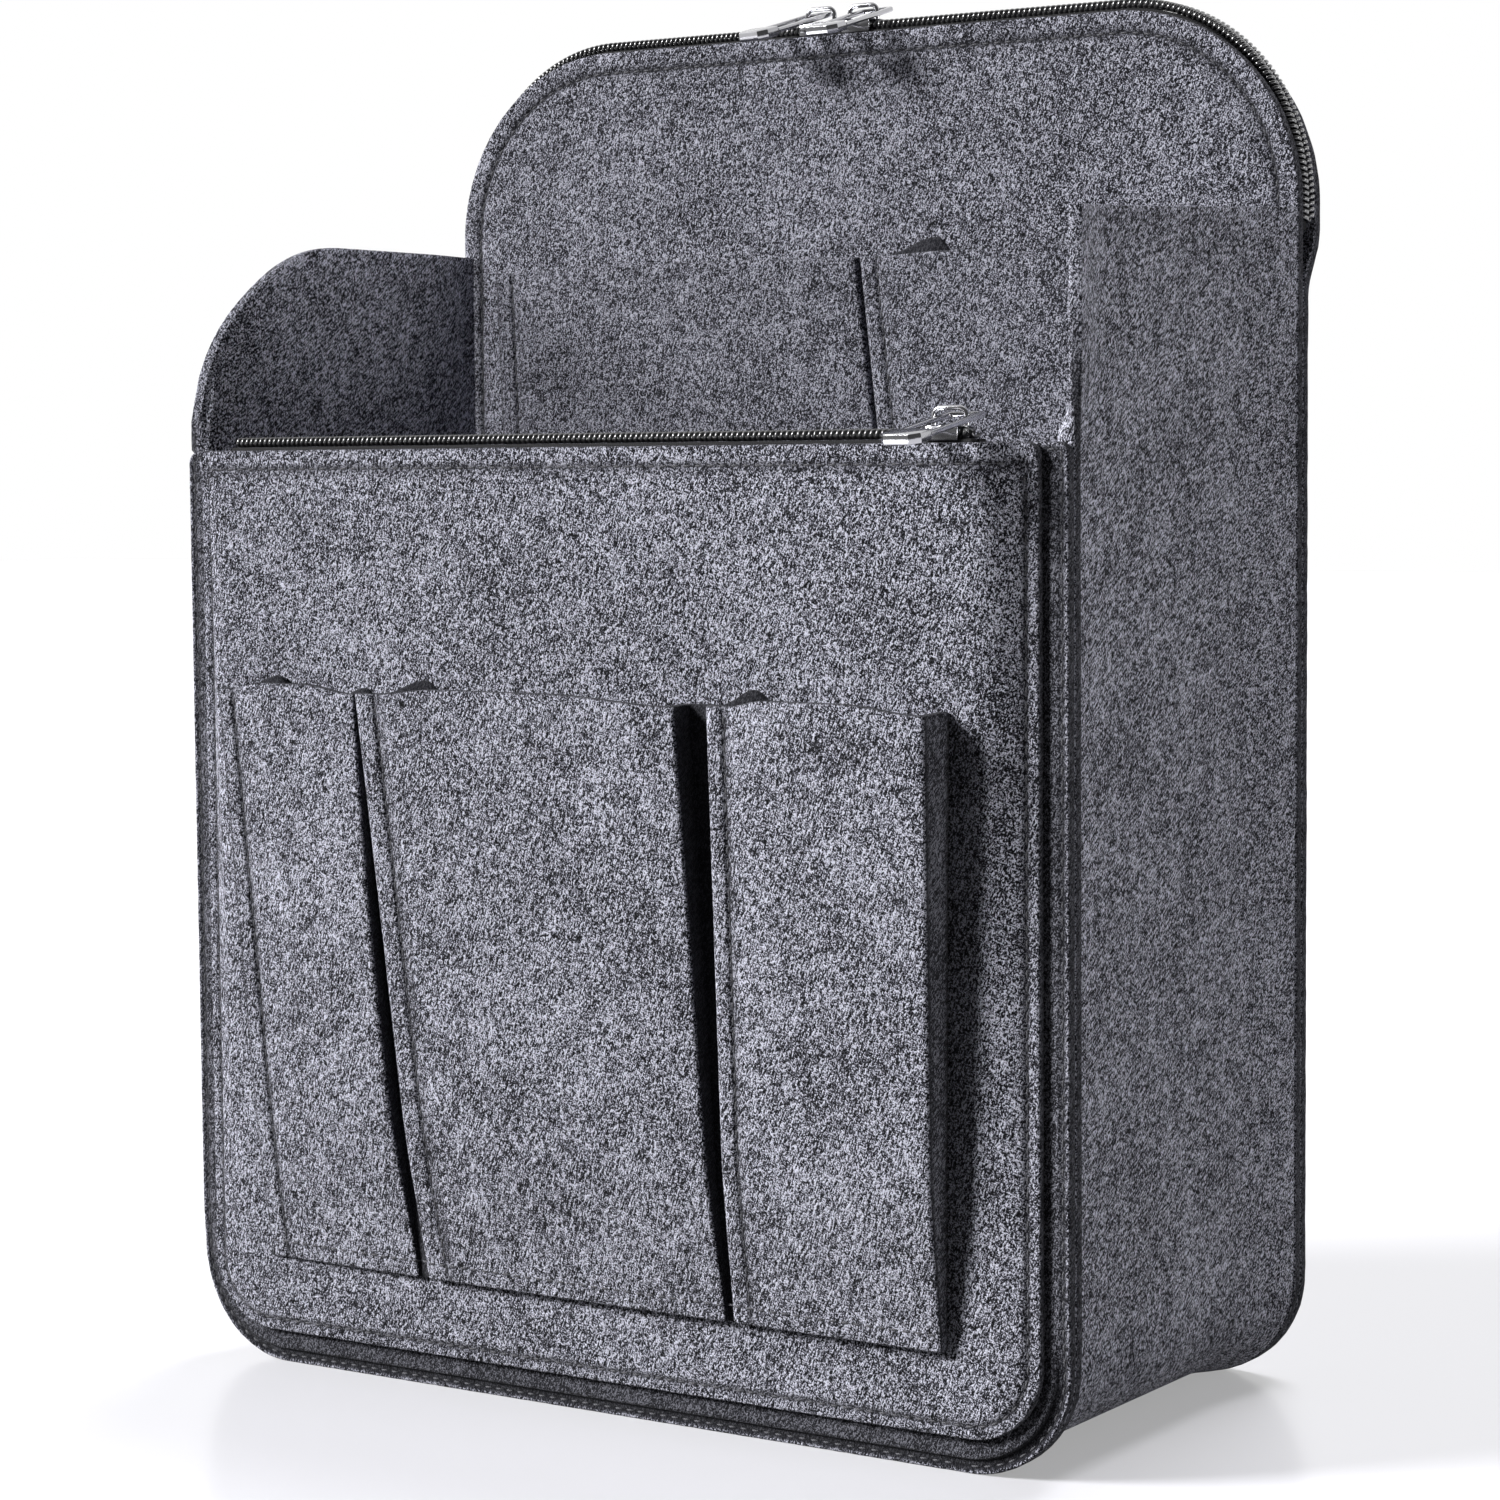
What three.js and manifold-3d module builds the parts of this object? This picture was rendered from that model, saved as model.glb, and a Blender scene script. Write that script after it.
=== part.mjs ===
// Felt organizer insert for a backpack, in millimetres, +Z up.
// The front faces -Y and +X is to the right, seen from the front.
// While the pieces are put together, y = 0 is the front face of the front wall.

import * as THREE from 'three';
import { mergeVertices } from 'three/addons/utils/BufferGeometryUtils.js';
import Module from 'manifold-3d';

const wasm = await Module();
wasm.setup();

// Felt body
const feltThickness = 3;
const bodyWidth = 248;
const backHeight = 330;
const frontHeight = 226;
const gussetDepth = 109;
const backTopRadius = 48;
const frontTopRadius = 3;
const bottomRadius = 26;

// Gusset strip: left wall, base and right wall in one length
const seamFlange = 3; // how far the turned-out edges stand off the wall's outer face
const leftWallDrop = 52; // how far the left wall's top lies below the back's
const leftWallRadius = 48; // round front corner of the left wall
const rightWallDrop = 49;
const rightWallFall = 5; // how much lower the right wall is at its front corner
const flangeOpening = 20; // height over which the front flange straightens above the front wall
const flareLength = 18; // depth of the wall that flares out where the flange has straightened
const flareOut = 2; // how far the straightened edge stands off the flange's cut edge

// Zip pocket panel on the front wall
const panelSideInset = 6;
const panelBottomInset = 8.5;
const panelCornerRadius = 18;
const panelSeamBand = 3;
const panelSlope = 7; // run over which the panel rises from its side seams to its flat front
const panelLevel = 2; // height between the tapes' lower edge and where the panel starts to lean in

// Sleeve between the two back panels
const sleeveSeamBand = 6;
const sleeveSlope = 16;
const sleeveZipStraight = 6; // length of the sleeve zipper below its bend on each side

// Front pocket strip, left to right: flap, left, centre and right pocket
const stripBottom = 28;
const stripHeight = 142;
const stripHem = 6;
const stripSeat = 0.05; // gap between the strip and the leaning panel behind it
const stripCornerRadius = 10;
const stripLeftInset = 11; // of the strip's hem from the panel's flat front, on the left
const stripLeftLean = -8.9;
const stripRightInset = 13.2;
const stripFlap = 5;
const leftPocketWidth = 44.1;
const rightPocketWidth = 51.4;
const leftPleatGap = 2.8;
const rightPleatGap = 4.9;
const foldRadius = 2.5;

// How far each pocket's left and right fold lean at the top, to +X
const leftPocketLean = [-9.7, -13.3];
const centrePocketLean = [-11, -1.5];
const rightPocketLean = [-0.2, 4.6];

// Depths of the pockets, low at their sewn left side and high at their right fold
const leftPocketFoot = [4, 5.5];
const leftPocketTop = [4.5, 7.5];
const centrePocketFoot = [4, 6.5];
const centrePocketTop = [5, 14];
const rightPocketFoot = [4, 6.5];
const rightPocketTop = [5, 11];

// Inner pocket strip on the inner back panel
const innerStripInset = 5;
const innerStripFlap = 11;
const innerStripDrop = 4; // how far the strip's top lies below the left wall's
const innerStripHeight = 174;
const innerStripHem = 6;
const innerLeftWidth = 118;
const innerPleatGap = 3;
const innerFoot = [6, 6];
const innerTop = [9.5, 9.5];
const innerLean = [-8, -8];
const innerRightLean = [-8, 0];

// Nylon coil zippers
const chainWidth = 5.8;
const chainSlit = 0.9;
const coilHeight = 2;
const coilBevel = 0.5;
const coilSeat = 0.4; // height of the coil's underside above the felt edge
const tapeThickness = 0.5;
const tapeReach = 12; // how far each tape reaches down along its felt sheet
const tapeOverhang = 0.3; // how far each tape's bend stands outside the coil
const pocketZipEndGap = 4; // from each end of the pocket zipper to the panel's slope

// Sliders
const sliderLength = 11;
const sliderNoseExtra = 0.3; // how far the nose is wider than the flanges, each side
const plateThickness = 0.8;
const plateCorner = 2.2;
const lowerPlateThickness = 1;
const runningGap = 0.2;
const sideFlange = 0.6;
const sideFlangeInset = 1.5;
const postWidth = 0.5;
const postLength = 3;
const postInset = 1;
const bailLength = 9.4;
const bailWire = 1.2;
const bailWindow = 3.4;
const bailShoulder = 2.4;

// Pull tabs
const pullLength = 27.2;
const pullWidth = 10.4;
const pullRail = 1.5;
const pullThickness = 1.2;
const pullHeel = 3; // how far the tab reaches behind its pivot
const pullEyeBar = 1;
const pullEyeGap = 1.3; // gap between the tab's outer rail and the bail's leg
const pullLift = 2.1; // height of the tab's pivot above the slider's plate
const pullBlockLength = 6.5;
const pullBlockThickness = 2.4;
const pullBevel = 2;

// Places of the sliders along their zippers
const backRightSliderX = 0.2;
const sliderGap = 1.8; // between the two sliders of the sleeve zipper
const pocketSliderInset = 1.4; // from the slider's nose to the end of the pocket zipper

// The turn of each tab to -X and its slope below level at rest, in degrees
const backLeftTurn = 12;
const backLeftSag = 16;
const backRightTurn = 4;
const backRightSag = 16;
const pocketTurn = 4;
const pocketSag = 12;

// Fineness of curves, and how far a cutting solid reaches past what it cuts
const arcSteps = 8;
const cutReach = 20;
const fuse = 0.2; // depth to which the cast pieces of one slider run into each other

// Derived sizes
const zipGap = chainWidth + 2 * tapeOverhang;
const halfWidth = bodyWidth / 2;
const gussetFront = feltThickness;
const gussetRear = gussetFront + gussetDepth;
const innerBackRear = gussetRear + feltThickness;
const sleeveRear = innerBackRear + zipGap;
const rearFace = sleeveRear + feltThickness;
const wallInner = halfWidth - seamFlange - feltThickness;
const leftWallHeight = backHeight - leftWallDrop;
const rightWallHeight = backHeight - rightWallDrop;
const innerStripTop = leftWallHeight - innerStripDrop;
const innerStripBottom = innerStripTop - innerStripHeight;
const panelLeft = -halfWidth + panelSideInset;
const panelRight = halfWidth - panelSideInset;
const panelRun = panelSeamBand + panelSlope;
const flatLeft = panelLeft + panelRun;
const flatRight = panelRight - panelRun;
const leanStart = panelBottomInset + panelSeamBand;
const leanEnd = frontHeight - tapeReach - panelLevel;
const panelLean = zipGap / (leanEnd - leanStart);
const stripTop = stripBottom + stripHeight;
const sleeveZipEnd = backHeight - backTopRadius - sleeveZipStraight;
const sleeveSeamEnd = sleeveZipEnd - sleeveSeamBand - sleeveSlope;
const pocketChainY = -zipGap / 2;
const backChainY = innerBackRear + zipGap / 2;
const chainTop = coilSeat + coilHeight;
const plateUnder = chainTop + runningGap;
const plateTop = plateUnder + plateThickness;
const pivotHeight = plateTop + pullLift;
const pullSlot = pullWidth - 2 * pullRail;
const pullOffset = bailLength / 2 + pullEyeGap - pullSlot / 2;
const backLeftSliderX = backRightSliderX - sliderLength - sliderGap;
const pocketSliderX = flatRight - pocketZipEndGap - pocketSliderInset - sliderLength / 2;
const pullReach = pullLength - pullHeel;

// The origin is under the middle of the whole object, on the surface that it stands on
const pocketReach = feltThickness + stripSeat + panelLean * (stripTop - leanStart)
  + Math.max(...leftPocketTop, ...centrePocketTop, ...rightPocketTop);
const sagged = THREE.MathUtils.degToRad(pocketSag);
const turned = THREE.MathUtils.degToRad(pocketTurn);
const pullRun = pullReach * Math.cos(sagged) + pullBlockThickness / 2 * Math.sin(sagged);
const pocketPullReach = pullRun * Math.cos(turned) + (pullWidth / 2 - pullBevel) * Math.sin(turned);
const frontReach = Math.max(pocketReach, -pocketChainY + pocketPullReach);
const depthCentre = (rearFace - frontReach) / 2;

// Turns of a drawn outline: from above, from the front with its depth to the front, and from the right
const drawnFromAbove = new THREE.Matrix4();
const drawnFromFront = new THREE.Matrix4().makeBasis(
  new THREE.Vector3(1, 0, 0), new THREE.Vector3(0, 0, 1), new THREE.Vector3(0, -1, 0));
const drawnFromRight = new THREE.Matrix4().makeBasis(
  new THREE.Vector3(0, 1, 0), new THREE.Vector3(0, 0, 1), new THREE.Vector3(1, 0, 0));

const organizer = new THREE.Group();

function felt(shade) {
  return new THREE.MeshStandardMaterial({ color: shade, roughness: 0.95, metalness: 0 });
}

function wovenTape() {
  return new THREE.MeshStandardMaterial({ color: 0x121214, roughness: 0.85, metalness: 0 });
}

function nylon() {
  return new THREE.MeshStandardMaterial({ color: 0x0d0d0f, roughness: 0.35, metalness: 0 });
}

function platedMetal() {
  return new THREE.MeshStandardMaterial({ color: 0xc9cbce, roughness: 0.15, metalness: 1 });
}

function addPiece(parent, name, geometry, material) {
  const mesh = new THREE.Mesh(geometry, material);
  mesh.name = name;
  parent.add(mesh);
  return mesh;
}

function toSolid(geometry) {
  const bare = geometry.clone();
  bare.deleteAttribute('normal');
  bare.deleteAttribute('uv');
  const merged = mergeVertices(bare);
  return new wasm.Manifold(new wasm.Mesh({
    numProp: 3,
    vertProperties: new Float32Array(merged.attributes.position.array),
    triVerts: new Uint32Array(merged.index.array),
  }));
}

function toGeometry(solid) {
  const mesh = solid.getMesh();
  const geometry = new THREE.BufferGeometry();
  geometry.setAttribute('position', new THREE.BufferAttribute(mesh.vertProperties, 3));
  geometry.setIndex(new THREE.BufferAttribute(mesh.triVerts, 1));
  geometry.computeVertexNormals();
  return geometry;
}

function joined(geometries) {
  return geometries.map(toSolid).reduce((whole, next) => whole.add(next));
}

function extruded(shape, depth, turn, x, y, z) {
  const geometry = new THREE.ExtrudeGeometry(shape, { depth, bevelEnabled: false, curveSegments: arcSteps });
  geometry.applyMatrix4(turn);
  geometry.translate(x, y, z);
  return geometry;
}

// A block between two corners
function block(low, high) {
  const geometry = new THREE.BoxGeometry(high[0] - low[0], high[1] - low[1], high[2] - low[2]);
  geometry.translate((low[0] + high[0]) / 2, (low[1] + high[1]) / 2, (low[2] + high[2]) / 2);
  return geometry;
}

// A closed solid through rings of equally many points, with both end rings filled
function loft(rings) {
  const count = rings[0].length;
  const points = rings.flat();
  const faces = [];
  for (let r = 0; r + 1 < rings.length; r++) {
    for (let i = 0; i < count; i++) {
      const here = r * count + i;
      const next = r * count + (i + 1) % count;
      faces.push(here, next, next + count, here, next + count, here + count);
    }
  }
  const lastStart = (rings.length - 1) * count;
  for (const face of fillRing(rings[0])) {
    faces.push(face[2], face[1], face[0]);
  }
  for (const face of fillRing(rings.at(-1))) {
    faces.push(lastStart + face[0], lastStart + face[1], lastStart + face[2]);
  }
  return closedGeometry(points, faces);
}

// Triangles over a flat ring of points, found in the plane that the ring lies in
function fillRing(ring) {
  const normal = new THREE.Vector3();
  ring.forEach((point, i) => {
    const next = ring[(i + 1) % ring.length];
    normal.x += (point.y - next.y) * (point.z + next.z);
    normal.y += (point.z - next.z) * (point.x + next.x);
    normal.z += (point.x - next.x) * (point.y + next.y);
  });
  const turn = new THREE.Quaternion().setFromUnitVectors(normal.normalize(), new THREE.Vector3(0, 0, 1));
  const flat = ring.map((point) => {
    const turned = point.clone().applyQuaternion(turn);
    return new THREE.Vector2(turned.x, turned.y);
  });
  return THREE.ShapeUtils.triangulateShape(flat, []);
}

// A mesh from points and faces, turned inside out where its volume would be negative
function closedGeometry(points, faces) {
  let volume = 0;
  for (let i = 0; i < faces.length; i += 3) {
    const across = points[faces[i + 1]].clone().cross(points[faces[i + 2]]);
    volume += points[faces[i]].dot(across);
  }
  const geometry = new THREE.BufferGeometry().setFromPoints(points);
  geometry.setIndex(volume < 0 ? faces.toReversed() : faces);
  geometry.computeVertexNormals();
  return geometry;
}

// An upright rectangle with round lower and upper corners, drawn from the front
function panelShape(left, right, bottom, top, lowerRadius, upperRadius) {
  const shape = new THREE.Shape();
  shape.moveTo(left + lowerRadius, bottom);
  shape.lineTo(right - lowerRadius, bottom);
  shape.absarc(right - lowerRadius, bottom + lowerRadius, lowerRadius, -Math.PI / 2, 0);
  shape.lineTo(right, top - upperRadius);
  shape.absarc(right - upperRadius, top - upperRadius, upperRadius, 0, Math.PI / 2);
  shape.lineTo(left + upperRadius, top);
  shape.absarc(left + upperRadius, top - upperRadius, upperRadius, Math.PI / 2, Math.PI);
  shape.lineTo(left, bottom + lowerRadius);
  shape.absarc(left + lowerRadius, bottom + lowerRadius, lowerRadius, Math.PI, 1.5 * Math.PI);
  return shape;
}

function flatPanel(shape, frontY) {
  return extruded(shape, feltThickness, drawnFromFront, 0, frontY + feltThickness, 0);
}

// A felt sheet over a grid of x and z lines, whose front face lies at frontAt(x, z), trimmed to a shape
function dishedPanel(xs, zs, frontAt, shape) {
  const points = [];
  for (const depth of [0, feltThickness]) {
    for (const z of zs) {
      for (const x of xs) {
        points.push(new THREE.Vector3(x, frontAt(x, z) + depth, z));
      }
    }
  }
  const faces = [];
  const back = xs.length * zs.length;
  const quad = (a, b, c, d) => faces.push(a, b, c, a, c, d);
  for (let j = 0; j + 1 < zs.length; j++) {
    for (let i = 0; i + 1 < xs.length; i++) {
      const a = j * xs.length + i;
      const d = a + xs.length;
      quad(a, a + 1, d + 1, d);
      quad(back + d, back + d + 1, back + a + 1, back + a);
    }
  }
  const rim = [];
  for (let i = 0; i < xs.length; i++) {
    rim.push(i);
  }
  for (let j = 1; j < zs.length; j++) {
    rim.push(j * xs.length + xs.length - 1);
  }
  for (let i = xs.length - 2; i >= 0; i--) {
    rim.push((zs.length - 1) * xs.length + i);
  }
  for (let j = zs.length - 2; j > 0; j--) {
    rim.push(j * xs.length);
  }
  rim.forEach((here, i) => {
    const next = rim[(i + 1) % rim.length];
    quad(next, here, back + here, back + next);
  });
  const sheet = toSolid(closedGeometry(points, faces));
  const ys = points.map((point) => point.y);
  const depth = Math.max(...ys) - Math.min(...ys) + 2 * cutReach;
  const trim = extruded(shape, depth, drawnFromFront, 0, Math.max(...ys) + cutReach, 0);
  return toGeometry(sheet.intersect(toSolid(trim)));
}

// Grid lines at distances from a sewn edge: its band and the slope beside it
function seamLines(band, slope) {
  return [0, band, band + slope / 3, band + slope * 2 / 3, band + slope];
}

// Grid lines at equal steps from one height up to another, the last one left out
function stepLines(low, high) {
  return Array.from({ length: arcSteps }, (_, i) => THREE.MathUtils.lerp(low, high, i / arcSteps));
}

// Share of the zipper's gap that a sheet has reached at one height, from its lower seam up
function leanShare(z, low, high) {
  return THREE.MathUtils.clamp((z - low) / (high - low), 0, 1);
}

// The gusset's section, as points of (outward, y), with its front flange turned out or straightened
function gussetSection(opened) {
  const t = feltThickness;
  const f = seamFlange;
  const edge = seamFlange + flareOut;
  const turnedOut = [
    [-t, gussetFront + t], [0, gussetFront], [f, gussetFront],
    [f, gussetFront + t], [f / 2, gussetFront + t], [0, gussetFront + t + f / 2]];
  const straightened = [
    [-t, gussetFront + flareLength], [edge / 2 - t, gussetFront + flareLength / 2], [edge - t, gussetFront],
    [edge, gussetFront], [edge / 2, gussetFront + flareLength / 2], [0, gussetFront + flareLength]];
  const front = turnedOut.map((point, i) => point.map((value, k) => (
    THREE.MathUtils.lerp(value, straightened[i][k], opened))));
  const rear = [
    [0, gussetRear - t - f / 2], [f / 2, gussetRear - t], [f, gussetRear - t],
    [f, gussetRear], [0, gussetRear], [-t, gussetRear - t]];
  return [...front, ...rear];
}

// The strip's path down the left wall, along the base and up the right wall
function gussetStations(topHeight) {
  const side = halfWidth - seamFlange;
  const radius = bottomRadius - seamFlange;
  const centre = side - radius;
  const heights = [];
  for (let i = 0; i <= arcSteps; i++) {
    heights.push(THREE.MathUtils.lerp(topHeight, frontHeight, i / arcSteps));
  }
  const left = heights.map((z) => ({ x: -side, z, nx: -1, nz: 0 }));
  const bend = [];
  for (let i = 0; i <= arcSteps; i++) {
    const angle = Math.PI + i / arcSteps * Math.PI / 2;
    const nx = Math.cos(angle);
    const nz = Math.sin(angle);
    bend.push({ x: -centre + radius * nx, z: bottomRadius + radius * nz, nx, nz });
  }
  const half = [...left, ...bend];
  const mirrored = half.map((at) => ({ ...at, x: -at.x, nx: -at.nx })).reverse();
  return [...half, ...mirrored];
}

function sideGusset() {
  const topHeight = Math.max(leftWallHeight, rightWallHeight) + cutReach;
  const rings = gussetStations(topHeight).map(({ x, z, nx, nz }) => {
    const opened = THREE.MathUtils.smoothstep(z, frontHeight, frontHeight + flangeOpening);
    return gussetSection(opened).map(([out, y]) => new THREE.Vector3(x + nx * out, y, z + nz * out));
  });
  const front = gussetFront - cutReach;
  const rear = gussetRear + cutReach;
  const above = topHeight + cutReach;

  const leftTop = new THREE.Shape();
  leftTop.moveTo(front, leftWallHeight - leftWallRadius);
  leftTop.lineTo(gussetFront, leftWallHeight - leftWallRadius);
  leftTop.absarc(gussetFront + leftWallRadius, leftWallHeight - leftWallRadius, leftWallRadius,
    Math.PI, Math.PI / 2, true);
  leftTop.lineTo(rear, leftWallHeight);
  leftTop.lineTo(rear, above);
  leftTop.lineTo(front, above);

  const fallPerDepth = rightWallFall / gussetDepth;
  const rightTop = new THREE.Shape();
  rightTop.moveTo(front, rightWallHeight - fallPerDepth * (gussetRear - front));
  rightTop.lineTo(rear, rightWallHeight + fallPerDepth * (rear - gussetRear));
  rightTop.lineTo(rear, above);
  rightTop.lineTo(front, above);

  const reach = halfWidth + cutReach;
  return toGeometry(toSolid(loft(rings))
    .subtract(toSolid(extruded(leftTop, reach, drawnFromRight, -reach, 0, 0)))
    .subtract(toSolid(extruded(rightTop, reach, drawnFromRight, 0, 0, 0))));
}

function zipPocketPanel() {
  const bulge = (x, z) => {
    const across = Math.min(x - panelLeft, panelRight - x);
    const share = leanShare(z, leanStart, leanEnd);
    return zipGap * share * THREE.MathUtils.smoothstep(across, panelSeamBand, panelRun);
  };
  const lines = seamLines(panelSeamBand, panelSlope);
  const xs = [...lines.map((d) => panelLeft + d), ...lines.map((d) => panelRight - d).reverse()];
  const zs = [panelBottomInset, ...stepLines(leanStart, leanEnd), leanEnd, frontHeight];
  const shape = panelShape(
    panelLeft, panelRight, panelBottomInset, frontHeight, panelCornerRadius, frontTopRadius);
  return dishedPanel(xs, zs, (x, z) => -feltThickness - bulge(x, z), shape);
}

function rearPanel() {
  const run = sleeveSeamBand + sleeveSlope;
  const bulge = (x, z) => {
    const across = halfWidth - Math.abs(x);
    const distance = z < sleeveSeamEnd ? across : Math.hypot(across, z - sleeveSeamEnd);
    const share = leanShare(z, sleeveSeamBand, sleeveSeamEnd);
    return zipGap * share * THREE.MathUtils.smoothstep(distance, sleeveSeamBand, run);
  };
  const lines = seamLines(sleeveSeamBand, sleeveSlope);
  const xs = [...lines.map((d) => d - halfWidth), ...lines.map((d) => halfWidth - d).reverse()];
  const rising = stepLines(sleeveSeamBand, sleeveSeamEnd);
  const zs = [0, ...rising, ...lines.map((d) => sleeveSeamEnd + d), backHeight];
  return dishedPanel(xs, zs, (x, z) => innerBackRear + bulge(x, z), backShape());
}

function backShape() {
  return panelShape(-halfWidth, halfWidth, 0, backHeight, bottomRadius, backTopRadius);
}

// A slip pocket's outline at one height: its left and right fold, and its depth at both
function pocketAt(pocket, low, high, z) {
  const share = (z - low) / (high - low);
  return {
    left: pocket.left + pocket.lean[0] * share,
    right: pocket.right + pocket.lean[1] * share,
    leftDepth: THREE.MathUtils.lerp(pocket.foot[0], pocket.top[0], share),
    rightDepth: THREE.MathUtils.lerp(pocket.foot[1], pocket.top[1], share),
  };
}

// A ring round the pocket at one height, or round its hollow where inset is the felt's thickness
function pocketRing(pocket, sheetFace, low, high, z, inset) {
  const at = pocketAt(pocket, low, high, z);
  const left = at.left + inset;
  const right = at.right - inset;
  const leftFront = sheetFace - at.leftDepth + inset;
  const rightFront = sheetFace - at.rightDepth + inset;
  const back = inset > 0 ? sheetFace + cutReach : sheetFace;
  const round = inset > 0 ? foldRadius / 2 : foldRadius;
  const corner = round * (1 - Math.SQRT1_2);
  return [
    [left, back], [left, leftFront + round], [left + corner, leftFront + corner], [left + round, leftFront],
    [right - round, rightFront], [right - corner, rightFront + corner], [right, rightFront + round],
    [right, back],
  ].map(([x, y]) => new THREE.Vector3(x, y, z));
}

// A strip sewn flat on a sheet between its pockets, with a hem below them
function pocketStrip(base, pockets, sheetFace, low, high, hem) {
  const outside = pockets.map((pocket) => loft([low, high].map((z) => (
    pocketRing(pocket, sheetFace, low, high, z, 0)))));
  const hollows = pockets.map((pocket) => loft([low + hem, high + cutReach].map((z) => (
    pocketRing(pocket, sheetFace, low, high, z, feltThickness)))));
  const strip = joined([extruded(base, feltThickness, drawnFromFront, 0, sheetFace, 0), ...outside]);
  return toGeometry(hollows.reduce((left, hollow) => left.subtract(toSolid(hollow)), strip));
}

function frontPocketStrip() {
  const left = flatLeft + stripLeftInset;
  const right = flatRight - stripRightInset;
  const leftPocket = {
    left: left + stripFlap, right: left + stripFlap + leftPocketWidth, lean: leftPocketLean,
    foot: leftPocketFoot, top: leftPocketTop,
  };
  const rightPocket = {
    left: right - rightPocketWidth, right, lean: rightPocketLean,
    foot: rightPocketFoot, top: rightPocketTop,
  };
  const centrePocket = {
    left: leftPocket.right + leftPleatGap, right: rightPocket.left - rightPleatGap, lean: centrePocketLean,
    foot: centrePocketFoot, top: centrePocketTop,
  };
  const base = new THREE.Shape();
  base.moveTo(left + stripCornerRadius, stripBottom);
  base.lineTo(right, stripBottom);
  base.lineTo(right, stripTop);
  base.lineTo(left + stripLeftLean, stripTop);
  base.lineTo(left, stripBottom + stripCornerRadius);
  base.absarc(left + stripCornerRadius, stripBottom + stripCornerRadius, stripCornerRadius,
    Math.PI, 1.5 * Math.PI);
  const pockets = [leftPocket, centrePocket, rightPocket];
  const strip = pocketStrip(base, pockets, -feltThickness - stripSeat, stripBottom, stripTop, stripHem);

  // The strip leans out with the panel that it is sewn on
  strip.translate(0, 0, -leanStart);
  strip.applyMatrix4(new THREE.Matrix4().makeShear(0, 0, 0, 0, 0, -panelLean));
  strip.translate(0, 0, leanStart);
  return strip;
}

function innerPocketStrip() {
  const edge = wallInner - innerStripInset;
  const leftPocket = {
    left: innerStripFlap - edge, right: innerStripFlap - edge + innerLeftWidth, lean: innerLean,
    foot: innerFoot, top: innerTop,
  };
  const rightPocket = {
    left: leftPocket.right + innerPleatGap, right: edge, lean: innerRightLean,
    foot: innerFoot, top: innerTop,
  };
  const pockets = [leftPocket, rightPocket];
  const base = panelShape(-edge, edge, innerStripBottom, innerStripTop, foldRadius, foldRadius);
  return pocketStrip(base, pockets, gussetRear, innerStripBottom, innerStripTop, innerStripHem);
}

// One tape of a zipper as points of (across, out): along its felt sheet, then under its half of the coil
function tapeSection(side) {
  const outer = zipGap / 2;
  const inner = chainSlit / 2;
  const seat = coilSeat - tapeThickness;
  return [
    [outer, -tapeReach], [outer, coilSeat], [inner, coilSeat], [inner, seat],
    [outer - tapeThickness, seat], [outer - tapeThickness, -tapeReach],
  ].map(([across, out]) => [side * across, out]);
}

// One half of a coil, on top of its tape
function coilSection(side) {
  const outer = chainWidth / 2;
  const inner = chainSlit / 2;
  return [
    [inner, coilSeat], [outer, coilSeat], [outer, chainTop - coilBevel],
    [outer - coilBevel, chainTop], [inner + coilBevel, chainTop], [inner, chainTop - coilBevel],
  ].map(([across, out]) => [side * across, out]);
}

// The sleeve zipper follows the arch of the back panels from its left end to its right end
function archStations() {
  const centreX = halfWidth - backTopRadius;
  const centreZ = backHeight - backTopRadius;
  const left = [{ x: -halfWidth, z: sleeveZipEnd, nx: -1, nz: 0 }];
  for (let i = 0; i <= arcSteps; i++) {
    const angle = Math.PI - i / arcSteps * Math.PI / 2;
    const nx = Math.cos(angle);
    const nz = Math.sin(angle);
    left.push({ x: -centreX + backTopRadius * nx, z: centreZ + backTopRadius * nz, nx, nz });
  }
  const right = left.map((at) => ({ ...at, x: -at.x, nx: -at.nx })).reverse();
  return [...left, ...right];
}

// The pocket zipper runs straight along the top of the front wall
function straightStations() {
  return [flatLeft + pocketZipEndGap, flatRight - pocketZipEndGap]
    .map((x) => ({ x, z: frontHeight, nx: 0, nz: 1 }));
}

function sweep(section, stations, chainY) {
  return loft(stations.map(({ x, z, nx, nz }) => section.map(([across, out]) => (
    new THREE.Vector3(x + nx * out, chainY + across, z + nz * out)))));
}

// A slider's plate from above, with its wider nose to +X
function plateShape(length, tailHalf, noseHalf) {
  const half = length / 2;
  const shape = new THREE.Shape();
  shape.moveTo(-half, tailHalf - plateCorner);
  shape.lineTo(-half, plateCorner - tailHalf);
  shape.quadraticCurveTo(-half, -tailHalf, plateCorner - half, -tailHalf);
  shape.lineTo(half - 2 * plateCorner, -noseHalf);
  shape.quadraticCurveTo(half, -noseHalf, half, 0);
  shape.quadraticCurveTo(half, noseHalf, half - 2 * plateCorner, noseHalf);
  shape.lineTo(plateCorner - half, tailHalf);
  shape.quadraticCurveTo(-half, tailHalf, -half, tailHalf - plateCorner);
  return shape;
}

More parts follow.
